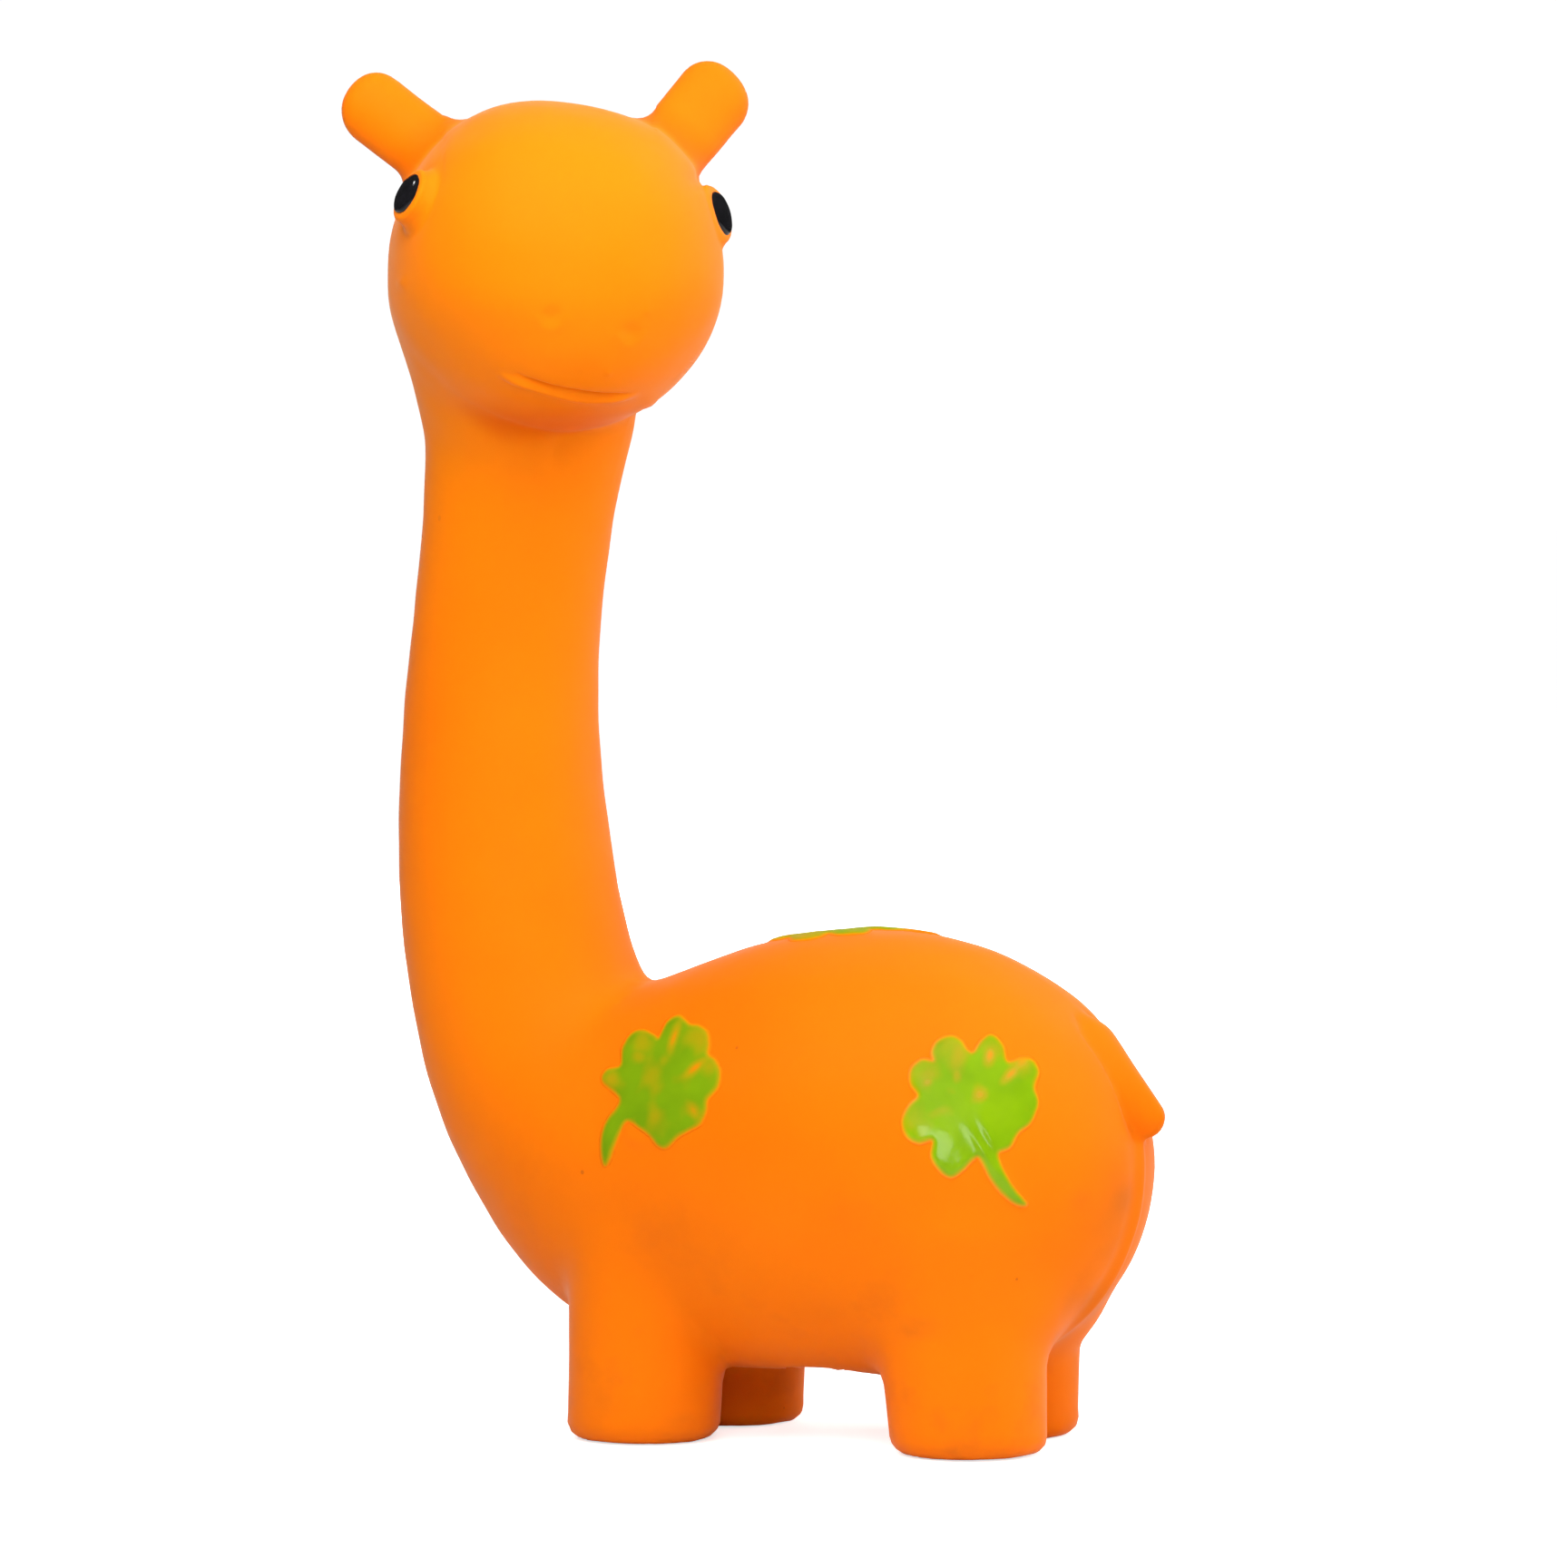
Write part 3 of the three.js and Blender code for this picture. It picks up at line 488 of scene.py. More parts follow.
# Raised veins and bulges of the moulded leaf: x, y, half length, half width, direction, height.
RISE_A = [(-1.6, -6.0, 2.6, 1.7, 10, 0.24), (4.2, -1.4, 2.4, 1.5, -20, 0.16), (2.5, 5.4, 2.0, 1.5, 70, 0.16),
          (5.0, 2.6, 2.0, 1.4, 35, 0.14), (-3.3, 3.7, 2.0, 1.5, 130, 0.16), (-5.6, 0.3, 1.5, 1.1, 0, 0.14),
          (0.6, -4.4, 2.2, 1.6, -60, 0.16), (-6.5, -6.9, 3.4, 0.8, 78, 0.16), (-3.0, -6.7, 2.0, 1.5, 15, 0.22)]
RISE_B = [(-3.6, -6.4, 2.6, 2.3, 60, 0.12), (-7.0, -2.3, 1.7, 1.7, 0, 0.18), (-6.6, 3.7, 1.7, 1.5, 0, 0.18),
          (-3.1, 6.6, 1.8, 1.6, 90, 0.16), (2.1, 6.3, 1.8, 1.5, 80, 0.16), (6.0, 3.6, 2.0, 1.4, 40, 0.14),
          (5.6, -0.8, 2.2, 1.8, -30, 0.14), (1.75, -3.6, 2.0, 0.50, -62, 0.24), (4.2, -9.4, 4.0, 0.8, -52, 0.22),
          (0.85, -5.4, 2.9, 0.48, -60, 0.24)]
FLANK = math.radians(22.0)


def closed_curve(pts, n):
    """Closed Catmull-Rom curve through pts, n points along it."""
    p = np.array(pts, float)
    m = len(p)
    t = np.linspace(0, m, n, endpoint=False)
    i = t.astype(int)
    u = (t - i)[:, None]
    a, b, c, d = p[(i - 1) % m], p[i % m], p[(i + 1) % m], p[(i + 2) % m]
    return 0.5 * (2 * b + (c - a) * u + (2 * a - 5 * b + 4 * c - d) * u ** 2 + (3 * b - a - 3 * c + d) * u ** 3)


def inside_distance(pts, ring):
    """Distance to a closed ring, positive inside."""
    a, b = ring, np.roll(ring, -1, 0)
    out = np.empty(len(pts))
    for s in range(0, len(pts), 4000):
        p = pts[s:s + 4000]
        d = b - a
        w = p[:, None] - a
        t = np.clip((w * d).sum(-1) / (d * d).sum(-1), 0, 1)
        dist = np.sqrt(((w - t[..., None] * d) ** 2).sum(-1)).min(1)
        up = (a[:, 1] > p[:, None, 1]) != (b[:, 1] > p[:, None, 1])
        dy = np.where(b[:, 1] == a[:, 1], 1e-12, b[:, 1] - a[:, 1])
        cross = up & (p[:, None, 0] < (b[:, 0] - a[:, 0]) * (p[:, None, 1] - a[:, 1]) / dy + a[:, 0])
        out[s:s + 4000] = np.where(cross.sum(1) % 2 == 1, dist, -dist)
    return out


class Clover:
    def __init__(self, name, outline, at, side, turn=0.0):
        self.name, self.side = name, side
        self.kind = "A" if outline is CLOVER_A else "B"
        self.ring = closed_curve(outline, 260)
        self.at = np.array(at, float)
        if side == 0:
            a = math.radians(turn)
            self.e1 = np.array([math.cos(a), math.sin(a), 0.0])
            self.e2 = np.array([-math.sin(a), math.cos(a), 0.0])
            self.out = np.array([0.0, 0.0, 1.0])
        else:
            s = -1.0 if side < 0 else 1.0
            self.e1 = np.array([math.cos(FLANK), -s * math.sin(FLANK), 0.0])
            self.e2 = np.array([0.0, 0.0, 1.0])
            self.out = np.array([math.sin(FLANK), s * math.cos(FLANK), 0.0])

    def flat(self, p):
        q = p - self.at
        return np.stack([q @ self.e1, q @ self.e2], 1)

    def near(self, p, nrm, margin=3.0):
        ab = self.flat(p)
        lo, hi = self.ring.min(0) - margin, self.ring.max(0) + margin
        return ((ab > lo) & (ab < hi)).all(1) & (nrm @ self.out > 0.25)

    def rise(self, ab, dist):
        """Height of the moulded leaf over the plain skin."""
        h = 0.16 * smoothstep((dist + 0.35) / 0.9)
        for x, y, a, b, ang, k in (RISE_A if self.kind == "A" else RISE_B):
            c, s = math.cos(math.radians(ang)), math.sin(math.radians(ang))
            u, v = (ab[:, 0] - x) * c + (ab[:, 1] - y) * s, -(ab[:, 0] - x) * s + (ab[:, 1] - y) * c
            h = h + k * np.exp(-((u / a) ** 2 + (v / b) ** 2) * 1.1)
        return h

    def thin(self, ab):
        t = np.zeros(len(ab))
        for x, y, a, b, ang, k in (THIN_A if self.kind == "A" else THIN_B):
            c, s = math.cos(math.radians(ang)), math.sin(math.radians(ang))
            u, v = (ab[:, 0] - x) * c + (ab[:, 1] - y) * s, -(ab[:, 0] - x) * s + (ab[:, 1] - y) * c
            t = np.maximum(t, 0.74 * k * np.exp(-((u / a) ** 2 + (v / b) ** 2) / 1.7))
        return t


CLOVERS = [
    Clover("clover_left_shoulder", CLOVER_A, [-7.36, -22.29, 47.06], -1),
    Clover("clover_left_rump", CLOVER_B, [35.55, -21.40, 45.31], -1),
    Clover("clover_right_shoulder", CLOVER_A, [-7.36, 22.29, 47.06], 1),
    Clover("clover_right_rump", CLOVER_B, [35.55, 21.40, 45.31], 1),
    Clover("clover_back", CLOVER_B, [7.3, 3.2, 66.0], 0, 62.0),
]

# ---------------------------------------------------------------- moulded detail on the skin
# Lines and spots that are placed on the face by where they are seen in the view above.
MOUTH_SHADE = np.array([(566, 405), (581, 411.5), (595, 415.5), (609, 419.3), (624, 422), (638, 424.8), (651, 427.3), (664, 429.6), (677, 430.6), (690, 430.6), (700, 429.5)], float)
LIP = np.array([(547, 407), (557, 411.5), (568, 415.6), (581, 419.2), (594, 422.6), (607, 426.2), (619, 429.7), (632, 432.8), (645, 435.4), (658, 436.3), (670, 436.0), (683, 434.8), (696, 432.8), (706, 430.5)], float)


def along(pts, line):
    """Distance in pixels to a line, and how far along it, from 0 to 1. Positive distance is below the line."""
    a, b = line[:-1], line[1:]
    d = b - a
    seg = np.sqrt((d * d).sum(1))
    pos = np.r_[0, np.cumsum(seg)]
    w = pts[:, None] - a
    t = np.clip((w * d).sum(-1) / (d * d).sum(-1), 0, 1)
    q = w - t[..., None] * d
    dist = np.sqrt((q * q).sum(-1))
    i = dist.argmin(1)
    r = np.arange(len(pts))
    sign = np.sign(d[i, 0] * q[r, i, 1] - d[i, 1] * q[r, i, 0])
    return dist[r, i] * sign, (pos[i] + t[r, i] * seg[i]) / pos[-1]


def wobble(p, size, seed):
    """Smooth random field in about -1..1 made of a few plane waves, the same on every run."""
    rng = np.random.default_rng(seed)
    out = np.zeros(len(p))
    for _ in range(14):
        k = rng.normal(size=3)
        k = k / np.linalg.norm(k) * rng.uniform(0.6, 1.5) * 2 * math.pi / size
        out += np.sin(p @ k + rng.uniform(0, 2 * math.pi))
    return out / 3.7


PIMPLES = [(443, 312, 0.30, 4.5), (636, 234, -0.12, 9.0), (712, 342, 0.16, 4.0), (668, 404, 0.12, 4.0), (623, 380, 0.08, 3.0), (641, 212, 0.07, 4.0), (650, 225, 0.06, 3.5), (536, 432, 0.07, 3.0),
           (608, 472, 0.10, 3.0), (553, 402, 0.06, 3.0), (705, 463, 0.45, 6.5), (718, 446, 0.36, 11.0)]


LEAF_EDGE = [np.array([(700, 1226), (690, 1240), (694, 1254), (708, 1261), (726, 1262)], float),
             np.array([(798, 1160), (805, 1174), (806, 1190), (801, 1206), (792, 1216)], float)]


def skin_relief(p, n):
    """How far the skin stands proud of its plain form, in millimetres."""
    h = 0.10 * wobble(p, 26.0, 5) + 0.035 * wobble(p, 9.0, 6)
    u, v = to_px(p)
    px = np.stack([u, v], 1)
    facing = smoothstep((n @ CAM_C - 0.05) / 0.25)
    x, y, z = head_axes(p)
    face = (p[:, 2] > 120) & (y > 0) & (facing > 0)
    # muzzle: fuller over the mouth, so that the chin falls away under it
    f = np.nonzero((p[:, 2] > 118) & (n @ CAM_C > 0))[0]
    drop = np.where(v[f] < 412, 54.0, 34.0)
    h[f] += 1.9 * np.exp(-((u[f] - 640) / 92.0) ** 2 - ((v[f] - 412) / drop) ** 2) * (n[f] @ CAM_C)
    h[f] -= 0.45 * np.exp(-((u[f] - 600) / 95.0) ** 2 - ((v[f] - 464) / 16.0) ** 2) * (n[f] @ CAM_C)
    # crown: a little fuller to the left than to the right
    f = np.nonzero((p[:, 2] > 163) & (u > 490) & (u < 722))[0]
    lean = np.sin(np.clip((603 - u[f]) / 112.0, -1, 1) * math.pi / 1.25)
    h[f] += 0.34 * lean * smoothstep((p[f, 2] - 163) / 6)
    # temple: drawn in between the ear and the eye on the far side of the face
    f = np.nonzero((p[:, 2] > 155) & (n @ CAM_R > 0.45) & (n @ CAM_C > -0.6))[0]
    h[f] -= 0.66 * np.exp(-((u[f] - 775) / 15.0) ** 2 - ((v[f] - 197) / 9.5) ** 2) * smoothstep((n[f] @ CAM_R - 0.45) / 0.3)
    # sockets: a fold round the foot of each eye boss
    for c, d, *_ in EYES.values():
        i = np.nonzero(np.linalg.norm(p - c, axis=1) < 10)[0]
        q = p[i] - c
        t = q @ d
        r = np.sqrt(np.maximum((q * q).sum(1) - t * t, 0))
        off = smoothstep((0.82 - np.abs(n[i] @ d)) / 0.25 + smoothstep((r - BOSS_R - 0.25) / 0.6))
        h[i] -= 0.22 * np.exp(-((r - BOSS_R - 1.2) / 1.15) ** 2) * off * smoothstep((-0.9 - t) / 0.8)
    # mouth: a shallow groove under the upper lip and a raised lower lip
    i = np.nonzero(face & (u > 515) & (u < 740) & (v > 375) & (v < 475))[0]
    if len(i):
        d, t = along(px[i], MOUTH_SHADE)
        w = smoothstep(t / 0.18) * smoothstep((1 - t) / 0.22) * facing[i]
        h[i] -= 0.50 * w * np.exp(-(d / 2.1) ** 2)
        h[i] += 0.12 * w * np.exp(-((d + 9) / 7.0) ** 2)
        d, t = along(px[i], LIP)
        w = smoothstep((t + 0.02) / 0.22) * smoothstep((1.02 - t) / 0.25) * facing[i]
        h[i] += 0.60 * w * np.exp(-(np.maximum(np.abs(d) - 0.8, 0) / 3.2) ** 2)
        h[i] -= 0.16 * w * np.exp(-((d - 13) / 8.0) ** 2)
    # nostril dimples, each with a faint rim
    for cu, cv, depth in ((608, 347, 0.20), (693, 364, 0.18)):
        i = np.nonzero(face & (np.hypot(u - cu, v - cv) < 42))[0]
        r = np.hypot(u[i] - cu, (v[i] - cv) * 1.1)
        h[i] -= depth * np.exp(-(r / 8.5) ** 2)
        h[i] += 0.30 * depth * np.exp(-((r - 15) / 6.0) ** 2) * (1 + 0.6 * np.sign(v[i] - cv))
    for cu, cv, k, s in PIMPLES:
        i = np.nonzero(face & (np.hypot(u - cu, v - cv) < 4 * s))[0]
        h[i] += k * np.exp(-((u[i] - cu) ** 2 + (v[i] - cv) ** 2) / s ** 2)
    # soft fold that runs down from the corner of the eye
    i = np.nonzero(face & (u > 430) & (u < 485) & (v > 225) & (v < 300))[0]
    if len(i):
        d, t = along(px[i], np.array([(446, 236), (450, 247), (452, 259), (452, 272)], float))
        h[i] -= 0.05 * facing[i] * np.exp(-(d / 6.5) ** 2) * (1 - smoothstep((t - 0.2) / 0.8))
    # ears: a shallow dish in the front
    for which, k, e in ((EAR_A, 0.15, 3.2), (EAR_B, 0.30, 3.2)):
        a, b = np.array(which[0]), (np.array(which[2][0]) + np.array(which[3][0])) / 2
        ax = (b - a) / np.linalg.norm(b - a)
        i = np.nonzero((np.linalg.norm(p - (a + b) / 2, axis=1) < 15) & (n @ HEAD_F > 0))[0]
        q = p[i] - a
        t = (q @ ax) / np.linalg.norm(b - a)
        across = q - (q @ ax)[:, None] * ax
        across = np.linalg.norm(across - (across @ HEAD_F)[:, None] * HEAD_F, axis=1)
        h[i] -= k * (n[i] @ HEAD_F) * np.exp(-(across / e) ** 2) * smoothstep((t + 0.2) / 0.5) * smoothstep((1.05 - t) / 0.55)
    # parting line of the mould, all round the middle plane, strongest on the rump
    x0, y0, z0 = p.T
    on_body = (z0 < 150) & (np.abs(y0) < 2.5) & (np.abs(n[:, 1]) < 0.6) & (z0 > 7)
    rear = smoothstep((x0 - 38) / 8) * smoothstep((52 - z0) / 10)
    i = np.nonzero(on_body)[0]
    h[i] += 0.05 * (1 - rear[i]) * np.exp(-(y0[i] / 0.42) ** 2)
    i = np.nonzero((z0 < 60) & (x0 > 30) & (np.abs(y0) < 7) & (z0 > 7))[0]
    h[i] += 0.42 * rear[i] * np.exp(-((y0[i] + 0.9) / 0.75) ** 2)
    h[i] -= 0.22 * rear[i] * np.exp(-((y0[i] + 3.0) / 1.5) ** 2)
    # groove where the tail lies on the rump
    a, b = np.array(TAIL[0]), np.array(TAIL[1])
    i = np.nonzero(np.linalg.norm(p - (a + b) / 2, axis=1) < 16)[0]
    if len(i):
        d = round_cone(p[i], *TAIL)
        w = np.exp(-((d - 0.6) / 0.55) ** 2) * smoothstep((np.abs(p[i, 1]) - 1.0) / 1.5)
        h[i] -= 0.50 * w
    # soles: uneven edges
    low = z0 < 3
    h[low] += 0.05 * wobble(p[low], 6.0, 9)
    # edge of the moulded leaf on the shoulder, where the paint stops short of it
    for line in LEAF_EDGE:
        i = np.nonzero((p[:, 2] < 60) & (facing > 0) & (np.hypot(u - line[:, 0].mean(), v - line[:, 1].mean()) < 45))[0]
        if len(i):
            d, t = along(px[i], line)
            h[i] += 0.13 * facing[i] * np.exp(-(d / 4.2) ** 2) * smoothstep(t / 0.2) * smoothstep((1 - t) / 0.2)
    # leaves
    for c in CLOVERS:
        i = np.nonzero(c.near(p, n))[0]
        if len(i):
            ab = c.flat(p[i])
            h[i] += c.rise(ab, inside_distance(ab, c.ring)) * smoothstep((n[i] @ c.out - 0.25) / 0.2)
    return h


def refine_mask(p, n, level):
    """Where the mesh has to be finer: face details, eyes, ears, leaves, tail, squeaker seat."""
    u, v = to_px(p)
    facing = n @ CAM_C > -0.1
    _, y, _ = head_axes(p)
    face = facing & (p[:, 2] > 120) & (y > 0)
    if level == 2:
        m = face & (u > 540) & (u < 712) & (v > 398) & (v < 446)
        for c, d, *_ in EYES.values():
            q = p - c
            t = q @ d
            r = np.sqrt(np.maximum((q * q).sum(1) - t * t, 0))
            m |= (np.abs(r - BOSS_R + 0.1) < 0.75) & (np.abs(t + 0.6) < 1.0)
        return m
    m = face & (u > 535) & (u < 716) & (v > 393) & (v < 450)
    m |= face & (np.hypot(u - 608, v - 347) < 26) | face & (np.hypot(u - 693, v - 364) < 26)
    for c, d, *_ in EYES.values():
        m |= np.linalg.norm(p - (c - d * 1.0), axis=1) < (7.5 if level == 0 else 6.2)
    if level == 0:
        for a, _, b, _ in (EAR_A, EAR_B):
            m |= np.linalg.norm(p - (np.array(a) + np.array(b[0])) / 2, axis=1) < 11.5
        m |= face & (np.hypot(u - 608, v - 347) < 34) | face & (np.hypot(u - 693, v - 364) < 34) | face & (np.hypot(u - 443, v - 312) < 18)
        m |= face & (u > 520) & (u < 730) & (v > 385) & (v < 485)
        m |= (p[:, 2] > 125) & (p[:, 2] < 141) & (n[:, 2] < 0.2)
        m |= np.linalg.norm(p - (np.array(TAIL[0]) + np.array(TAIL[1])) / 2, axis=1) < 12
        m |= (np.abs(p[:, 1]) < 4.5) & (p[:, 0] > 36)
        m |= (np.hypot(p[:, 0] - PLUG_X, p[:, 1]) < 9.5) & (p[:, 2] < 12)
        for c in CLOVERS:
            m |= c.near(p, n, 1.2)
    return m


def make_skin():
    lo, hi = np.array([-60.0, -38.0, -2.5]), np.array([56.0, 30.0, 183.0])
    verts, quads = surface_nets(moulding, lo, hi, 1.3)
    verts = onto(moulding, verts, 2)
    ngons = []
    for level in (0, 1, 2):
        cen = verts[quads].mean(1)
        rim = outside(cen)
        outer = rim > -1.0
        nrm = np.zeros_like(cen)
        nrm[outer] = gradient(outside, cen[outer])
        nrm /= np.maximum(np.linalg.norm(nrm, axis=1, keepdims=True), 1e-6)
        marked = outer & refine_mask(cen, nrm, level)
        before = len(verts)
        verts, quads, ngons = split_quads(verts, quads, ngons, marked)
        verts[before:] = onto(moulding, verts[before:], 2)
    d = outside(verts)
    out = np.nonzero(d > -0.25)[0]
    g = gradient(outside, verts[out])
    g /= np.linalg.norm(g, axis=1, keepdims=True)
    lift = skin_relief(verts[out], g)
    for c in CLOVERS:
        i = np.nonzero(c.near(verts[out], g, 0.0))[0]
        lift[i] -= 0.09 * smoothstep((inside_distance(c.flat(verts[out][i]), c.ring) - 0.2) / 0.7)
    verts[out] += g * lift[:, None]
    floor = verts[:, 2] < 0
    verts[floor, 2] = 0.0
    return verts, quads, ngons, d


def mesh_object(name, verts, faces, smooth=True):
    me = bpy.data.meshes.new(name)
    me.from_pydata([tuple(v) for v in world(verts)], [], faces)
    me.validate()
    me.update()
    if smooth:
        me.polygons.foreach_set("use_smooth", [True] * len(me.polygons))
    ob = bpy.data.objects.new(name, me)
    bpy.context.scene.collection.objects.link(ob)
    return ob


def point_value(ob, name, values):
    a = ob.data.attributes.new(name, "FLOAT", "POINT")
    a.data.foreach_set("value", np.asarray(values, np.float32))


# ---------------------------------------------------------------- materials
def material(name):
    m = bpy.data.materials.new(name)
    m.use_nodes = True
    nt = m.node_tree
    return m, nt, nt.nodes["Principled BSDF"]


def node(nt, kind, **props):
    n = nt.nodes.new(kind)
    for k, v in props.items():
        setattr(n, k, v)
    return n


def lin(r, g, b):
    f = lambda c: c / 12.92 if c <= 0.04045 else ((c + 0.055) / 1.055) ** 2.4
    return (f(r / 255), f(g / 255), f(b / 255), 1.0)


def noise(nt, coord, scale, detail=3.0, rough=0.5):
    n = node(nt, "ShaderNodeTexNoise")
    n.inputs["Scale"].default_value = scale
    n.inputs["Detail"].default_value = detail
    n.inputs["Roughness"].default_value = rough
    nt.links.new(coord, n.inputs["Vector"])
    return n


def ramp(nt, src, stops):
    r = node(nt, "ShaderNodeValToRGB")
    e = r.color_ramp.elements
    while len(e) < len(stops):
        e.new(0.5)
    for k, (pos, col) in zip(e, stops):
        k.position = pos
        k.color = col if len(col) == 4 else (*col, 1.0)
    nt.links.new(src, r.inputs["Fac"])
    return r


def mix(nt, fac, a, b, mode="MIX"):
    n = node(nt, "ShaderNodeMix", data_type="RGBA", blend_type=mode)
    for sock, val in ((n.inputs[0], fac), (n.inputs[6], a), (n.inputs[7], b)):
        if isinstance(val, bpy.types.NodeSocket):
            nt.links.new(val, sock)
        else:
            sock.default_value = val
    return n.outputs[2]


def maths(nt, op, a, b=0.5, clamp=False):
    n = node(nt, "ShaderNodeMath", operation=op, use_clamp=clamp)
    for sock, val in ((n.inputs[0], a), (n.inputs[1], b)):
        if isinstance(val, bpy.types.NodeSocket):
            nt.links.new(val, sock)
        else:
            sock.default_value = val
    return n.outputs[0]


LATEX = (0.815, 0.168, 0.0020, 1.0)
LATEX_DEEP = (0.760, 0.146, 0.0016, 1.0)
LATEX_LIGHT = (0.850, 0.184, 0.0024, 1.0)


def latex_nodes(nt, coord):
    """Colour of the coloured latex: slow shifts of tone, powdery bloom, dust specks; the specks are handed back for the
    bump.
    """
    slow = noise(nt, coord, 22.0, 2.0, 0.5)
    tone = ramp(nt, slow.outputs["Fac"], [(0.3, LATEX_DEEP), (0.5, LATEX), (0.72, LATEX_LIGHT)])
    fine = noise(nt, coord, 260.0, 4.0, 0.6)
    tone = mix(nt, maths(nt, "MULTIPLY", fine.outputs["Fac"], 0.10), tone.outputs["Color"], LATEX_DEEP)
    # sparse dark specks of dust, each in its own cell
    cells = node(nt, "ShaderNodeTexVoronoi")
    cells.inputs["Scale"].default_value = 190.0
    nt.links.new(coord, cells.inputs["Vector"])
    pick = node(nt, "ShaderNodeSeparateColor")
    nt.links.new(cells.outputs["Color"], pick.inputs[0])
    rare = maths(nt, "GREATER_THAN", pick.outputs[0], 0.78)
    size = maths(nt, "MULTIPLY", pick.outputs[1], 0.085)
    dot = maths(nt, "LESS_THAN", cells.outputs["Distance"], size)
    speck = maths(nt, "MULTIPLY", rare, dot)
    tone = mix(nt, maths(nt, "MULTIPLY", speck, 0.42), tone, (0.30, 0.055, 0.01, 1.0))
    return tone, fine, speck


def latex_material():
    m, nt, bsdf = material("latex_orange")
    tc = node(nt, "ShaderNodeTexCoord").outputs["Object"]
    tone, fine, speck = latex_nodes(nt, tc)
    # handling dirt, mostly low down
    dirt = noise(nt, tc, 70.0, 5.0, 0.62)
    low = node(nt, "ShaderNodeSeparateXYZ")
    nt.links.new(tc, low.inputs[0])
    height = ramp(nt, maths(nt, "MULTIPLY", low.outputs["Z"], 5.0), [(0.0, (1, 1, 1)), (0.06, (0.55, 0.55, 0.55)), (0.22, (0.12, 0.12, 0.12)), (1.0, (0.06, 0.06, 0.06))])
    patch = ramp(nt, dirt.outputs["Fac"], [(0.54, (0, 0, 0)), (0.72, (1, 1, 1))])
    tone = mix(nt, maths(nt, "MULTIPLY", maths(nt, "MULTIPLY", patch.outputs["Color"], height.outputs["Color"]), 0.35), tone, (0.42, 0.085, 0.012, 1.0))
    # painted light: a lighter, yellower colour on the head and upper neck, standing in for the stronger light that
    # falls there; the ears are kept out of it
    head_lit = ramp(nt, low.outputs["Z"], [(0.100, (0, 0, 0)), (0.128, (1, 1, 1))])
    bare_ear = maths(nt, "SUBTRACT", 1.0, node(nt, "ShaderNodeAttribute", attribute_name="ear").outputs["Fac"])
    tone = mix(nt, maths(nt, "MULTIPLY", maths(nt, "MULTIPLY", head_lit.outputs["Color"], bare_ear), 0.85), tone, (0.835, 0.196, 0.0024, 1.0))
    smudge = node(nt, "ShaderNodeAttribute", attribute_name="smudge").outputs["Fac"]
    # partly painted shade, partly handling dirt: duller, darker patches on the rump, hind leg and soles
    tone = mix(nt, maths(nt, "MULTIPLY", smudge, 0.70), tone, (0.560, 0.126, 0.0080, 1.0))
    # painted shade: darker, redder colour in the crease under the chin and in the valleys round the ear roots
    fold = node(nt, "ShaderNodeAttribute", attribute_name="fold").outputs["Fac"]
    tone = mix(nt, fold, tone, (0.690, 0.118, 0.0010, 1.0))
    nt.links.new(tone, bsdf.inputs["Base Color"])
    rough = ramp(nt, noise(nt, tc, 120.0, 3.0).outputs["Fac"], [(0.3, (0.44, 0.44, 0.44)), (0.7, (0.54, 0.54, 0.54))])
    nt.links.new(rough.outputs["Color"], bsdf.inputs["Roughness"])
    bsdf.inputs["Specular IOR Level"].default_value = 0.03
    bsdf.inputs["Sheen Weight"].default_value = 0.15
    bsdf.inputs["Sheen Roughness"].default_value = 0.30
    bsdf.inputs["Sheen Tint"].default_value = (1.0, 0.88, 0.74, 1.0)
    bsdf.inputs["Subsurface Weight"].default_value = 0.12
    bsdf.inputs["Subsurface Radius"].default_value = (0.0022, 0.0009, 0.0003)
    bsdf.inputs["Subsurface Scale"].default_value = 1.0
    # very fine powdery grain and a faint orange peel
    peel = noise(nt, tc, 420.0, 2.0, 0.5)
    grain = noise(nt, tc, 2600.0, 2.0, 0.6)
    total = maths(nt, "ADD", maths(nt, "MULTIPLY", peel.outputs["Fac"], 0.5), maths(nt, "MULTIPLY", grain.outputs["Fac"], 0.16))
    total = maths(nt, "ADD", total, maths(nt, "MULTIPLY", speck, 0.5))
    bump = node(nt, "ShaderNodeBump")
    bump.inputs["Strength"].default_value = 0.22
    bump.inputs["Distance"].default_value = 0.00012
    nt.links.new(total, bump.inputs["Height"])
    nt.links.new(bump.outputs["Normal"], bsdf.inputs["Normal"])
    return m


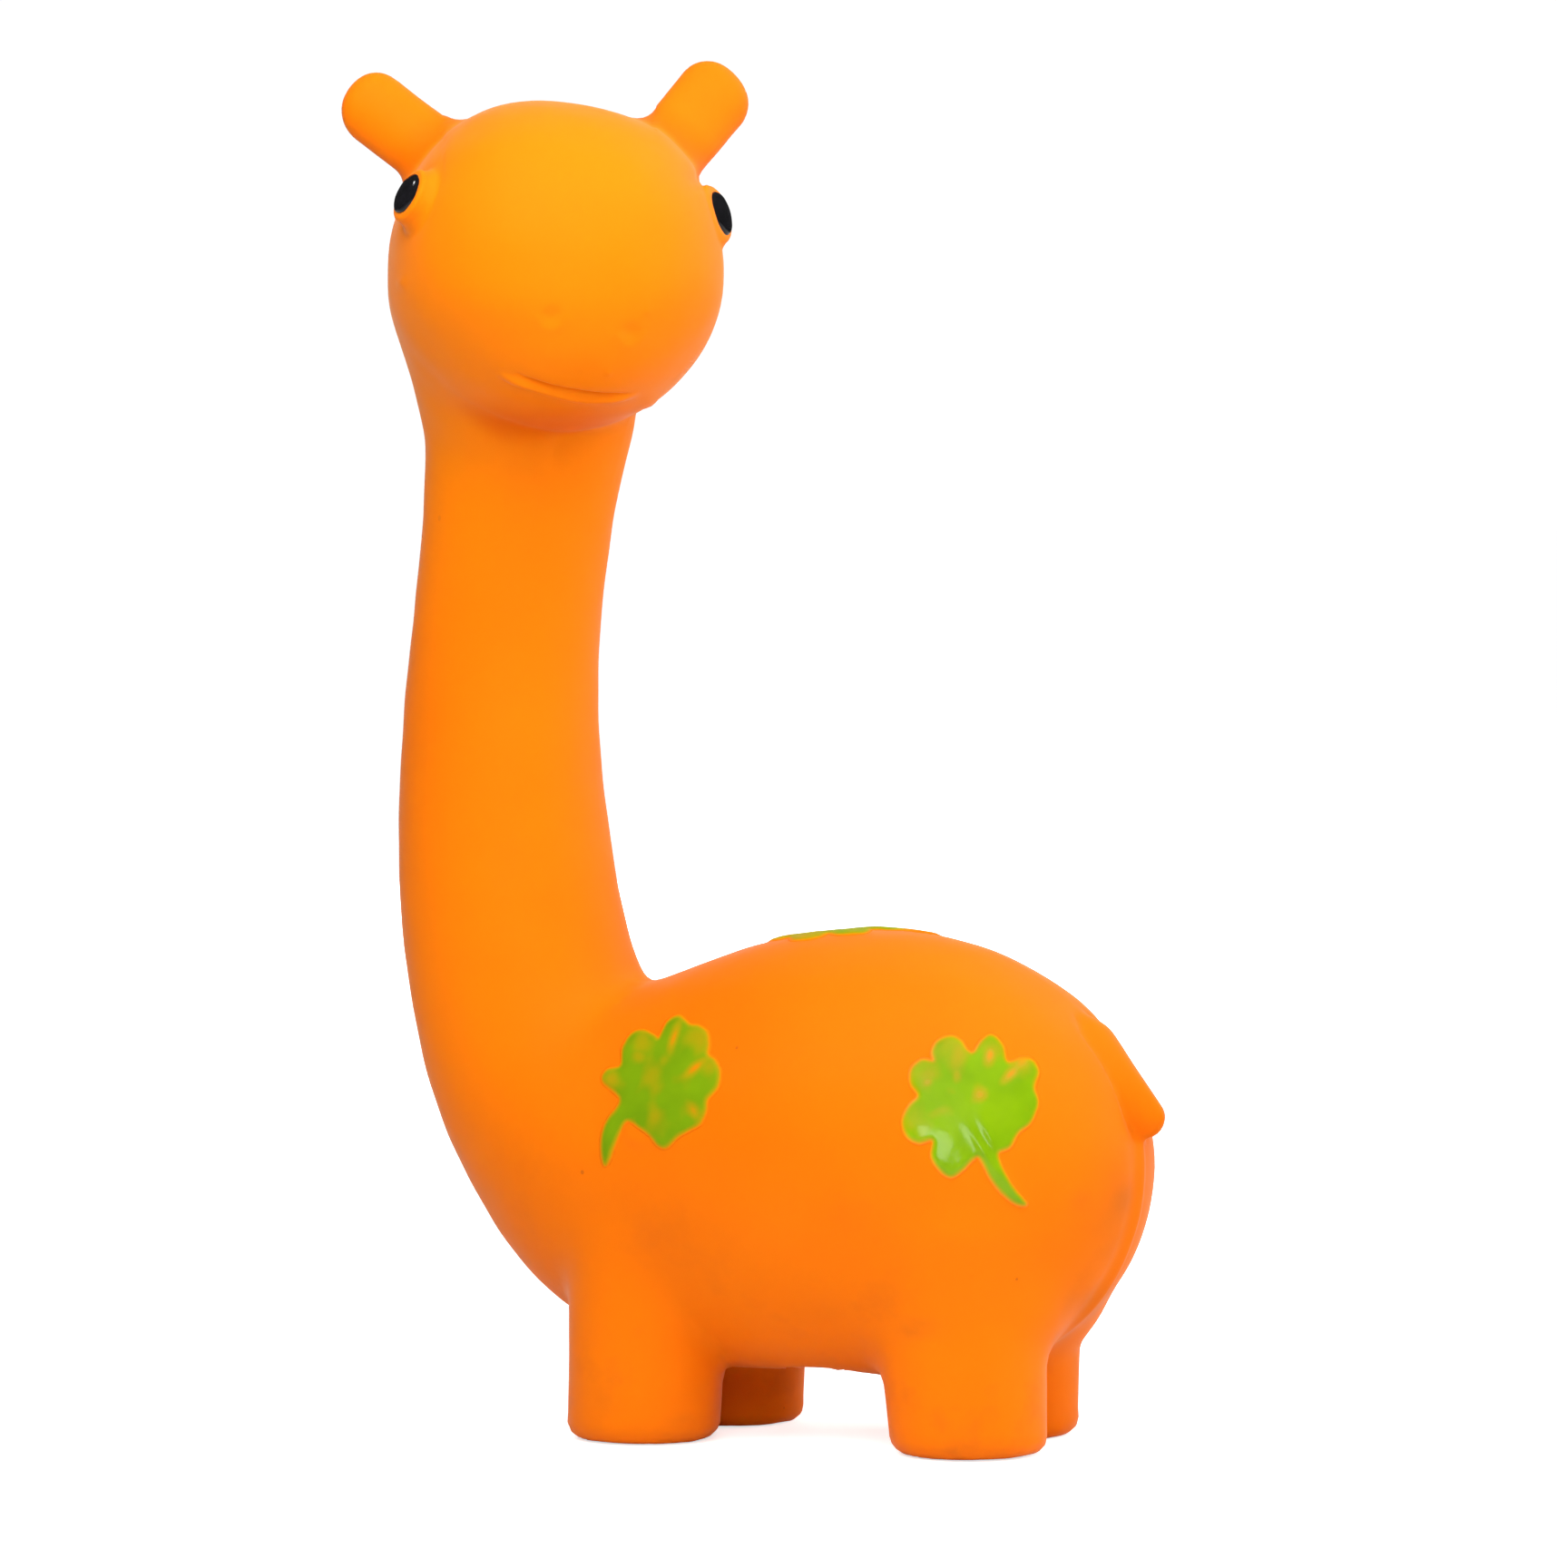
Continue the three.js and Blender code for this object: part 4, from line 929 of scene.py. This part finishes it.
def clover_material(name, gloss, shade):
    m, nt, bsdf = material(name)
    tc = node(nt, "ShaderNodeTexCoord").outputs["Object"]
    film = node(nt, "ShaderNodeAttribute", attribute_name="film").outputs["Fac"]
    cloud = noise(nt, tc, 420.0, 3.0, 0.55)
    green = ramp(nt, noise(nt, tc, 170.0, 2.0).outputs["Fac"], [(0.35, (0.155 * shade, 0.294 * shade, 0.0026)), (0.65, (0.196 * shade, 0.344 * shade, 0.0030))])
    ochre = (0.395, 0.272, 0.0028, 1.0)
    amount = maths(nt, "ADD", film, maths(nt, "MULTIPLY", maths(nt, "SUBTRACT", cloud.outputs["Fac"], 0.5), 0.22))
    body = ramp(nt, amount, [(0.42, (0, 0, 0)), (0.90, (1, 1, 1))])
    base = mix(nt, body.outputs["Color"], ochre, green.outputs["Color"])
    bare = ramp(nt, amount, [(0.03, (1, 1, 1)), (0.44, (0, 0, 0))])
    base = mix(nt, bare.outputs["Color"], base, (0.785, 0.162, 0.0018, 1.0))
    nt.links.new(base, bsdf.inputs["Base Color"])
    rough = ramp(nt, film, [(0.35, (0.34, 0.34, 0.34)), (0.85, (0.14, 0.14, 0.14))])
    dull = node(nt, "ShaderNodeAttribute", attribute_name="dull").outputs["Fac"]
    nt.links.new(mix(nt, dull, rough.outputs["Color"], (0.62, 0.62, 0.62, 1.0)), bsdf.inputs["Roughness"])
    bsdf.inputs["Specular IOR Level"].default_value = gloss
    bsdf.inputs["Subsurface Weight"].default_value = 0.10
    bsdf.inputs["Subsurface Radius"].default_value = (0.0012, 0.0009, 0.0003)
    bsdf.inputs["Subsurface Scale"].default_value = 1.0
    bump = node(nt, "ShaderNodeBump")
    bump.inputs["Strength"].default_value = 0.25
    bump.inputs["Distance"].default_value = 0.0002
    nt.links.new(cloud.outputs["Fac"], bump.inputs["Height"])
    nt.links.new(bump.outputs["Normal"], bsdf.inputs["Normal"])
    return m


def eye_material():
    m, nt, bsdf = material("eye_enamel")
    tc = node(nt, "ShaderNodeTexCoord").outputs["Object"]
    n = noise(nt, tc, 900.0, 4.0, 0.6)
    base = ramp(nt, n.outputs["Fac"], [(0.35, (0.0045, 0.0045, 0.0050)), (0.62, (0.0085, 0.0080, 0.0100)), (0.78, (0.022, 0.021, 0.030))])
    nt.links.new(base.outputs["Color"], bsdf.inputs["Base Color"])
    rough = ramp(nt, n.outputs["Fac"], [(0.3, (0.10, 0.10, 0.10)), (0.75, (0.18, 0.18, 0.18))])
    nt.links.new(rough.outputs["Color"], bsdf.inputs["Roughness"])
    bsdf.inputs["Specular IOR Level"].default_value = 0.25
    bsdf.inputs["Coat Weight"].default_value = 0.15
    bsdf.inputs["Coat Roughness"].default_value = 0.06
    bump = node(nt, "ShaderNodeBump")
    bump.inputs["Strength"].default_value = 0.3
    bump.inputs["Distance"].default_value = 0.00008
    nt.links.new(n.outputs["Fac"], bump.inputs["Height"])
    nt.links.new(bump.outputs["Normal"], bsdf.inputs["Normal"])
    return m


def plastic_material(name, a, b, rough, sss):
    m, nt, bsdf = material(name)
    tc = node(nt, "ShaderNodeTexCoord").outputs["Object"]
    n = noise(nt, tc, 300.0, 3.0, 0.55)
    base = ramp(nt, n.outputs["Fac"], [(0.35, a), (0.7, b)])
    nt.links.new(base.outputs["Color"], bsdf.inputs["Base Color"])
    r = ramp(nt, n.outputs["Fac"], [(0.3, (rough - 0.06,) * 3), (0.7, (rough + 0.06,) * 3)])
    nt.links.new(r.outputs["Color"], bsdf.inputs["Roughness"])
    bsdf.inputs["Subsurface Weight"].default_value = sss
    bsdf.inputs["Subsurface Radius"].default_value = (0.0012, 0.0011, 0.0010)
    bsdf.inputs["Subsurface Scale"].default_value = 1.0
    bump = node(nt, "ShaderNodeBump")
    bump.inputs["Strength"].default_value = 0.2
    bump.inputs["Distance"].default_value = 0.0001
    nt.links.new(noise(nt, tc, 1500.0, 2.0).outputs["Fac"], bump.inputs["Height"])
    nt.links.new(bump.outputs["Normal"], bsdf.inputs["Normal"])
    return m


def wear(ob, mat):
    ob.data.materials.clear()
    ob.data.materials.append(mat)


# ---------------------------------------------------------------- pieces
# Darker patches on the rump, hind leg and soles, partly painted shade where the rump turns away from the light and
# round the feet, partly handling dirt: where seen, half width, half height, strength.
SHADE_AND_SMUDGE_SPOTS = [(1193, 1324, 13, 12, 0.55), (1236, 1318, 18, 24, 0.75), (1220, 1360, 26, 26, 0.45), (1198, 1440, 30, 30, 0.65),
           (1178, 1480, 24, 20, 0.60), (1017, 1462, 20, 9, 0.55), (1003, 1470, 10, 7, 0.40), (1066, 1600, 46, 7, 0.55),
           (760, 1566, 22, 8, 0.40), (666, 1540, 10, 18, 0.30), (745, 1582, 34, 6, 0.35), (905, 1448, 30, 12, 0.20)]


def build_skin():
    verts, quads, ngons, _ = make_skin()
    ob = mesh_object("toy_skin", verts, quads.tolist() + ngons)
    u, v = to_px(verts)
    _, y, _ = head_axes(verts)
    # painted shade under the chin and round the ear roots, for the latex material
    fold = np.exp(-((u - 592) / 105.0) ** 4 - ((v - 469) / 24.0) ** 2) * smoothstep(y / 4) * (verts[:, 2] > 120)
    root = np.minimum(ear(verts, EAR_A), ear(verts, EAR_B))
    fold = np.maximum(fold, 0.75 * (1 - smoothstep(head(verts) / 5.0)) * (1 - smoothstep((root - 0.3) / 1.2)) * (verts[:, 2] > 155))
    point_value(ob, "fold", fold)
    # patches of painted shade and handling dirt on the rump, hind leg and soles
    shade_and_smudge_marks = sum(k * np.exp(-((u - a) / r) ** 2 - ((v - b) / h) ** 2) for a, b, r, h, k in SHADE_AND_SMUDGE_SPOTS)
    point_value(ob, "smudge", np.clip(shade_and_smudge_marks * (1 + 0.18 * wobble(verts, 6.0, 51)), 0, 1) * (verts[:, 2] < 60) * smoothstep((9 - verts[:, 1]) / 6))
    point_value(ob, "ear", 1 - smoothstep(np.minimum(ear(verts, EAR_A), ear(verts, EAR_B)) / 2.2))
    wear(ob, latex_material())
    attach(ob, "toy")
    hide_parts("latex_skin")
    return ob


def build_eye(side, mat):
    """Domed cap of thick black paint on the end of the boss, its rim slightly uneven."""
    c, n, height, radius, _ = EYES[side]
    up = np.array([0.0, 0.0, 1.0])
    a = unit(np.cross(up, n))
    b = np.cross(n, a)
    rings, segs = 15, 64
    rng = np.random.default_rng(11 if side == "right" else 12)
    ph = rng.uniform(0, 2 * math.pi, 4)
    verts, faces = [], []
    th = np.arange(segs) * 2 * math.pi / segs
    edge = radius + 0.06 * np.sin(2 * th + ph[0]) + 0.05 * np.sin(3 * th + ph[1]) + 0.03 * np.sin(7 * th + ph[2])
    profile = [(0.96, -0.80), (1.0, -0.34), (1.0, -0.26)]
    for k in range(1, rings):
        t = math.pi / 2 * k / rings
        profile.append((math.cos(t) ** 0.8, -0.26 + (height + 0.26) * math.sin(t) ** 0.9))
    for r, z in profile:
        for i in range(segs):
            rr = edge[i] * r
            verts.append(c + n * z + (a * math.cos(th[i]) + b * math.sin(th[i])) * rr)
    top = len(verts)
    verts.append(c + n * height)
    bottom = len(verts)
    verts.append(c - n * 0.80)
    m = len(profile)
    for k in range(m - 1):
        for i in range(segs):
            j = (i + 1) % segs
            faces.append([k * segs + i, k * segs + j, (k + 1) * segs + j, (k + 1) * segs + i])
    for i in range(segs):
        j = (i + 1) % segs
        faces.append([(m - 1) * segs + i, (m - 1) * segs + j, top])
        faces.append([bottom, j, i])
    ob = mesh_object("eye_paint_" + side, np.array(verts), faces)
    wear(ob, mat)
    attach(ob, "toy")
    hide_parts("eye_enamel_" + side)
    return ob


def build_clover(c, mat):
    """Film of enamel over the moulded leaf: thick in the middle, rounded off at its edge."""
    ring = c.ring
    rng = np.random.default_rng(21)
    soft = 0.36          # the paint runs out this far beyond the drawn outline
    nxt, prv = np.roll(ring, -1, 0), np.roll(ring, 1, 0)
    tan = nxt - prv
    tan /= np.linalg.norm(tan, axis=1, keepdims=True)
    out = np.stack([tan[:, 1], -tan[:, 0]], 1)
    if inside_distance(ring[:1] + out[:1] * 0.2, ring)[0] > 0:
        out = -out
    step = 0.31
    lo, hi = ring.min(0) - 1, ring.max(0) + 1
    gx, gy = np.meshgrid(np.arange(lo[0], hi[0], step), np.arange(lo[1], hi[1], step * 0.866))
    gx[1::2] += step / 2
    grid = np.stack([gx.ravel(), gy.ravel()], 1)
    grid = grid[inside_distance(grid, ring) > 0.24 - soft]
    rows = [grid]
    for off in (soft, soft - 0.12):
        row = ring + out * off
        rows.append(row[np.abs(inside_distance(row, ring) + off) < 0.012])
    pts = np.vstack(rows)
    res = delaunay_2d_cdt([Vector(p) for p in pts], [], [], 0, 1e-5)
    flat = np.array([tuple(v) for v in res[0]])
    tris = np.array([list(f) for f in res[2]])
    dist = np.maximum(inside_distance(flat, ring) + soft, 0)
    tris = tris[inside_distance(flat[tris].mean(1), ring) > -soft]
    # drop the flat pattern on to the skin
    p = c.at + flat[:, :1] * c.e1 + flat[:, 1:] * c.e2 + c.out * 14.0
    for _ in range(60):
        p = p - c.out * (outside(p) * 0.9)[:, None]
    nrm = gradient(outside, p)
    nrm /= np.linalg.norm(nrm, axis=1, keepdims=True)
    base = skin_relief(p, nrm)
    w = smoothstep(dist / 0.8)
    thin = c.thin(flat)
    thick = 0.03 + 0.08 * w * (1 - 0.45 * thin) + 0.012 * wobble(p, 2.6, 31) * w
    top = p + nrm * (base + thick)[:, None]
    low = p + nrm * (base - 0.16)[:, None]
    m = len(p)
    edges = {}
    for t in tris:
        for i in range(3):
            a, b = int(t[i]), int(t[(i + 1) % 3])
            edges[(a, b)] = edges.get((a, b), 0) + 1
    faces = [list(map(int, t)) for t in tris] + [[int(t[2]) + m, int(t[1]) + m, int(t[0]) + m] for t in tris]
    for a, b in edges:
        if (b, a) not in edges:
            faces.append([b, a, a + m, b + m])
    verts = np.vstack([top, low])
    f0 = tris[0]
    if np.dot(np.cross(top[f0[1]] - top[f0[0]], top[f0[2]] - top[f0[0]]), nrm[f0[0]]) < 0:
        faces = [f[::-1] for f in faces]
    ob = mesh_object("enamel_" + c.name, verts, faces)
    # the rump leaves are thick and glossy, the shoulder ones rubbed dull, the back one nearly worn through
    coat = {"rump": 1.0, "shoulder": 0.94, "back": 0.72}[c.name.split("_")[-1]]
    film = np.clip(smoothstep(dist / (2.4 * soft)) * (coat - thin) + 0.05 * wobble(p, 3.5, 41) * w, 0, 1)
    if c.side == 0:
        film *= 1 - 0.9 * smoothstep((to_px(p)[0] - 984) / 24)
    point_value(ob, "film", np.r_[film, film])
    point_value(ob, "dull", np.full(2 * m, 0.0 if coat == 1.0 else 1.0))
    wear(ob, mat)
    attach(ob, "toy")
    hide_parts(c.name)
    return ob


build_skin()
eye_mat, leaf_mat, dull_mat = eye_material(), clover_material("clover_enamel", 0.13, 1.0), clover_material("clover_enamel_dull", 0.04, 0.90)
for side in EYES:
    build_eye(side, eye_mat)
for c in CLOVERS:
    build_clover(c, leaf_mat if c.name.endswith("rump") else dull_mat)

white_pe = plastic_material("natural_polyethylene", (0.80, 0.78, 0.73), (0.87, 0.86, 0.82), 0.45, 0.25)
cream_ps = plastic_material("cream_polystyrene", (0.74, 0.70, 0.58), (0.80, 0.77, 0.66), 0.38, 0.10)
clear_film = plastic_material("reed_film", (0.64, 0.68, 0.70), (0.72, 0.76, 0.78), 0.25, 0.05)
for name, mat in (("squeaker_plug", white_pe), ("squeaker_cap", white_pe), ("reed_collar", cream_ps), ("reed_trough", cream_ps), ("reed_tongue", clear_film)):
    wear(frame["nodes"][name], mat)

# ---------------------------------------------------------------- stage, light and camera
scene = bpy.context.scene
scene.view_settings.view_transform = "Standard"
scene.view_settings.look = "None"
scene.view_settings.exposure = 0.0
scene.view_settings.gamma = 1.0


AMBIENT = 0.03
# name, bearing round from the front, height in degrees, distance, size, watts, height aimed at, what it lights
LAMPS = [
    ("key_high", 22, 58, 0.32, 0.25, 0.60, 0.152, "body"),
    ("key_left", -23, 40, 0.35, 0.25, 0.84, 0.152, "body"),
    ("key_right", 67, 40, 0.35, 0.25, 0.52, 0.152, "body"),
    ("key_low", 22, 20, 0.40, 0.25, 1.10, 0.152, "body"),
    ("side", 117, 20, 1.5, 0.9, 15.0, 0.08, "body"),
    ("behind", 202, 50, 1.5, 0.9, 2.4, 0.08, "body"),
    ("behind_low", 202, 10, 1.5, 0.6, 7.0, 0.08, "body"),
    ("panel_right", 125, 15, 1.0, 1.9, 22.0, 0.08, "skin"),
    ("panel_back", 202, 15, 1.0, 1.4, 2.4, 0.08, "skin"),
    ("panel_left", -115, 15, 1.0, 1.3, 0.6, 0.08, "skin"),
    ("panel_top", 202, 80, 1.0, 1.3, 3.4, 0.10, "skin"),
    ("panel_leaf", 202, 12, 1.0, 1.0, 3.0, 0.08, "leaf"),
    ("spark", 20, 12, 1.5, 0.42, 6.6, 0.04, "rump"),
    ("lens", -86, 48, 1.5, 0.26, 5.5, 0.16, "eye"),
]


def build_floor():
    """Round pale table top, wide enough to fill every view."""
    r, segs = 60.0, 96
    verts = [(0, 0, -0.00015)] + [(r * math.cos(2 * math.pi * i / segs), r * math.sin(2 * math.pi * i / segs), -0.00015) for i in range(segs)]
    me = bpy.data.meshes.new("floor")
    me.from_pydata(verts, [], [[0, 1 + i, 1 + (i + 1) % segs] for i in range(segs)])
    ob = bpy.data.objects.new("floor", me)
    scene.collection.objects.link(ob)
    m, nt, bsdf = material("floor_white")
    tc = node(nt, "ShaderNodeTexCoord").outputs["Object"]
    n = noise(nt, tc, 6.0, 2.0)
    c = ramp(nt, n.outputs["Fac"], [(0.3, (0.86, 0.86, 0.86)), (0.7, (0.88, 0.88, 0.88))])
    nt.links.new(c.outputs["Color"], bsdf.inputs["Base Color"])
    bsdf.inputs["Roughness"].default_value = 0.9
    bsdf.inputs["Specular IOR Level"].default_value = 0.0
    # the table top runs out into the white of the studio sweep
    near = node(nt, "ShaderNodeVectorMath", operation="LENGTH")
    nt.links.new(tc, near.inputs[0])
    fade = ramp(nt, maths(nt, "MULTIPLY", near.outputs["Value"], 1.0), [(0.10, (0.70, 0.70, 0.70)), (0.40, (1, 1, 1))])
    seen = node(nt, "ShaderNodeLightPath").outputs["Is Camera Ray"]
    bsdf.inputs["Emission Color"].default_value = (1.0, 1.0, 1.0, 1.0)
    nt.links.new(maths(nt, "MULTIPLY", fade.outputs["Color"], seen), bsdf.inputs["Emission Strength"])
    wear(ob, m)
    ob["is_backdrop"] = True


build_floor()

w = bpy.data.worlds.new("studio")
scene.world = w
w.use_nodes = True
wn = w.node_tree
bg = wn.nodes["Background"]
bg.inputs["Color"].default_value = (1.0, 1.0, 1.0, 1.0)
seen = node(wn, "ShaderNodeLightPath").outputs["Is Camera Ray"]
wn.links.new(maths(wn, "ADD", maths(wn, "MULTIPLY", seen, 1.0), AMBIENT), bg.inputs["Strength"])


# what the small reflections are meant for: the bare skin or the paint on it
GLOSS = {"skin": ("toy_skin",), "eye": ("eye_paint_",), "leaf": ("enamel_clover_back",), "rump": ("enamel_clover_left_rump", "enamel_clover_right_rump")}
RECEIVERS = {}
for part, starts in GLOSS.items():
    RECEIVERS[part] = bpy.data.collections.new("gloss_on_" + part)
    for ob in scene.objects:
        if ob.name.startswith(starts):
            RECEIVERS[part].objects.link(ob)


def softbox(name, az, el, dist, size, power, aim, lights):
    """Square softbox or white panel aimed at the toy. az is the bearing from the front like a camera's, el the height above the horizon."""
    data = bpy.data.lights.new(name, "AREA")
    data.shape = "SQUARE"
    data.size = size
    data.energy = power
    ob = bpy.data.objects.new(name, data)
    a, e = math.radians(az), math.radians(el)
    target = Vector((-0.012, 0.0, aim))
    pos = target + dist * Vector((math.sin(a) * math.cos(e), -math.cos(a) * math.cos(e), math.sin(e)))
    ob.location = pos
    ob.rotation_euler = (target - pos).to_track_quat("-Z", "Y").to_euler()
    ob.visible_camera = False
    ob.visible_glossy = lights != "body"
    ob.visible_diffuse = lights == "body"
    if lights in RECEIVERS:
        ob.light_linking.receiver_collection = RECEIVERS[lights]
    scene.collection.objects.link(ob)
    return ob


for lamp in LAMPS:
    softbox(*lamp)

cam = bpy.data.cameras.new("camera")
cam.sensor_fit = "VERTICAL"
cam.sensor_height = 36.0
cam.lens = FOCAL_PX * 36.0 / PHOTO_H
cam.clip_start, cam.clip_end = 0.05, 200.0
cam_ob = bpy.data.objects.new("camera", cam)
cam_ob.location = Vector(world(CAM_TARGET + CAM_C * CAM_DIST))
rot = Matrix((CAM_R, CAM_U, CAM_C)).transposed()
cam_ob.rotation_euler = rot.to_euler()
scene.collection.objects.link(cam_ob)
scene.camera = cam_ob

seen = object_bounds()
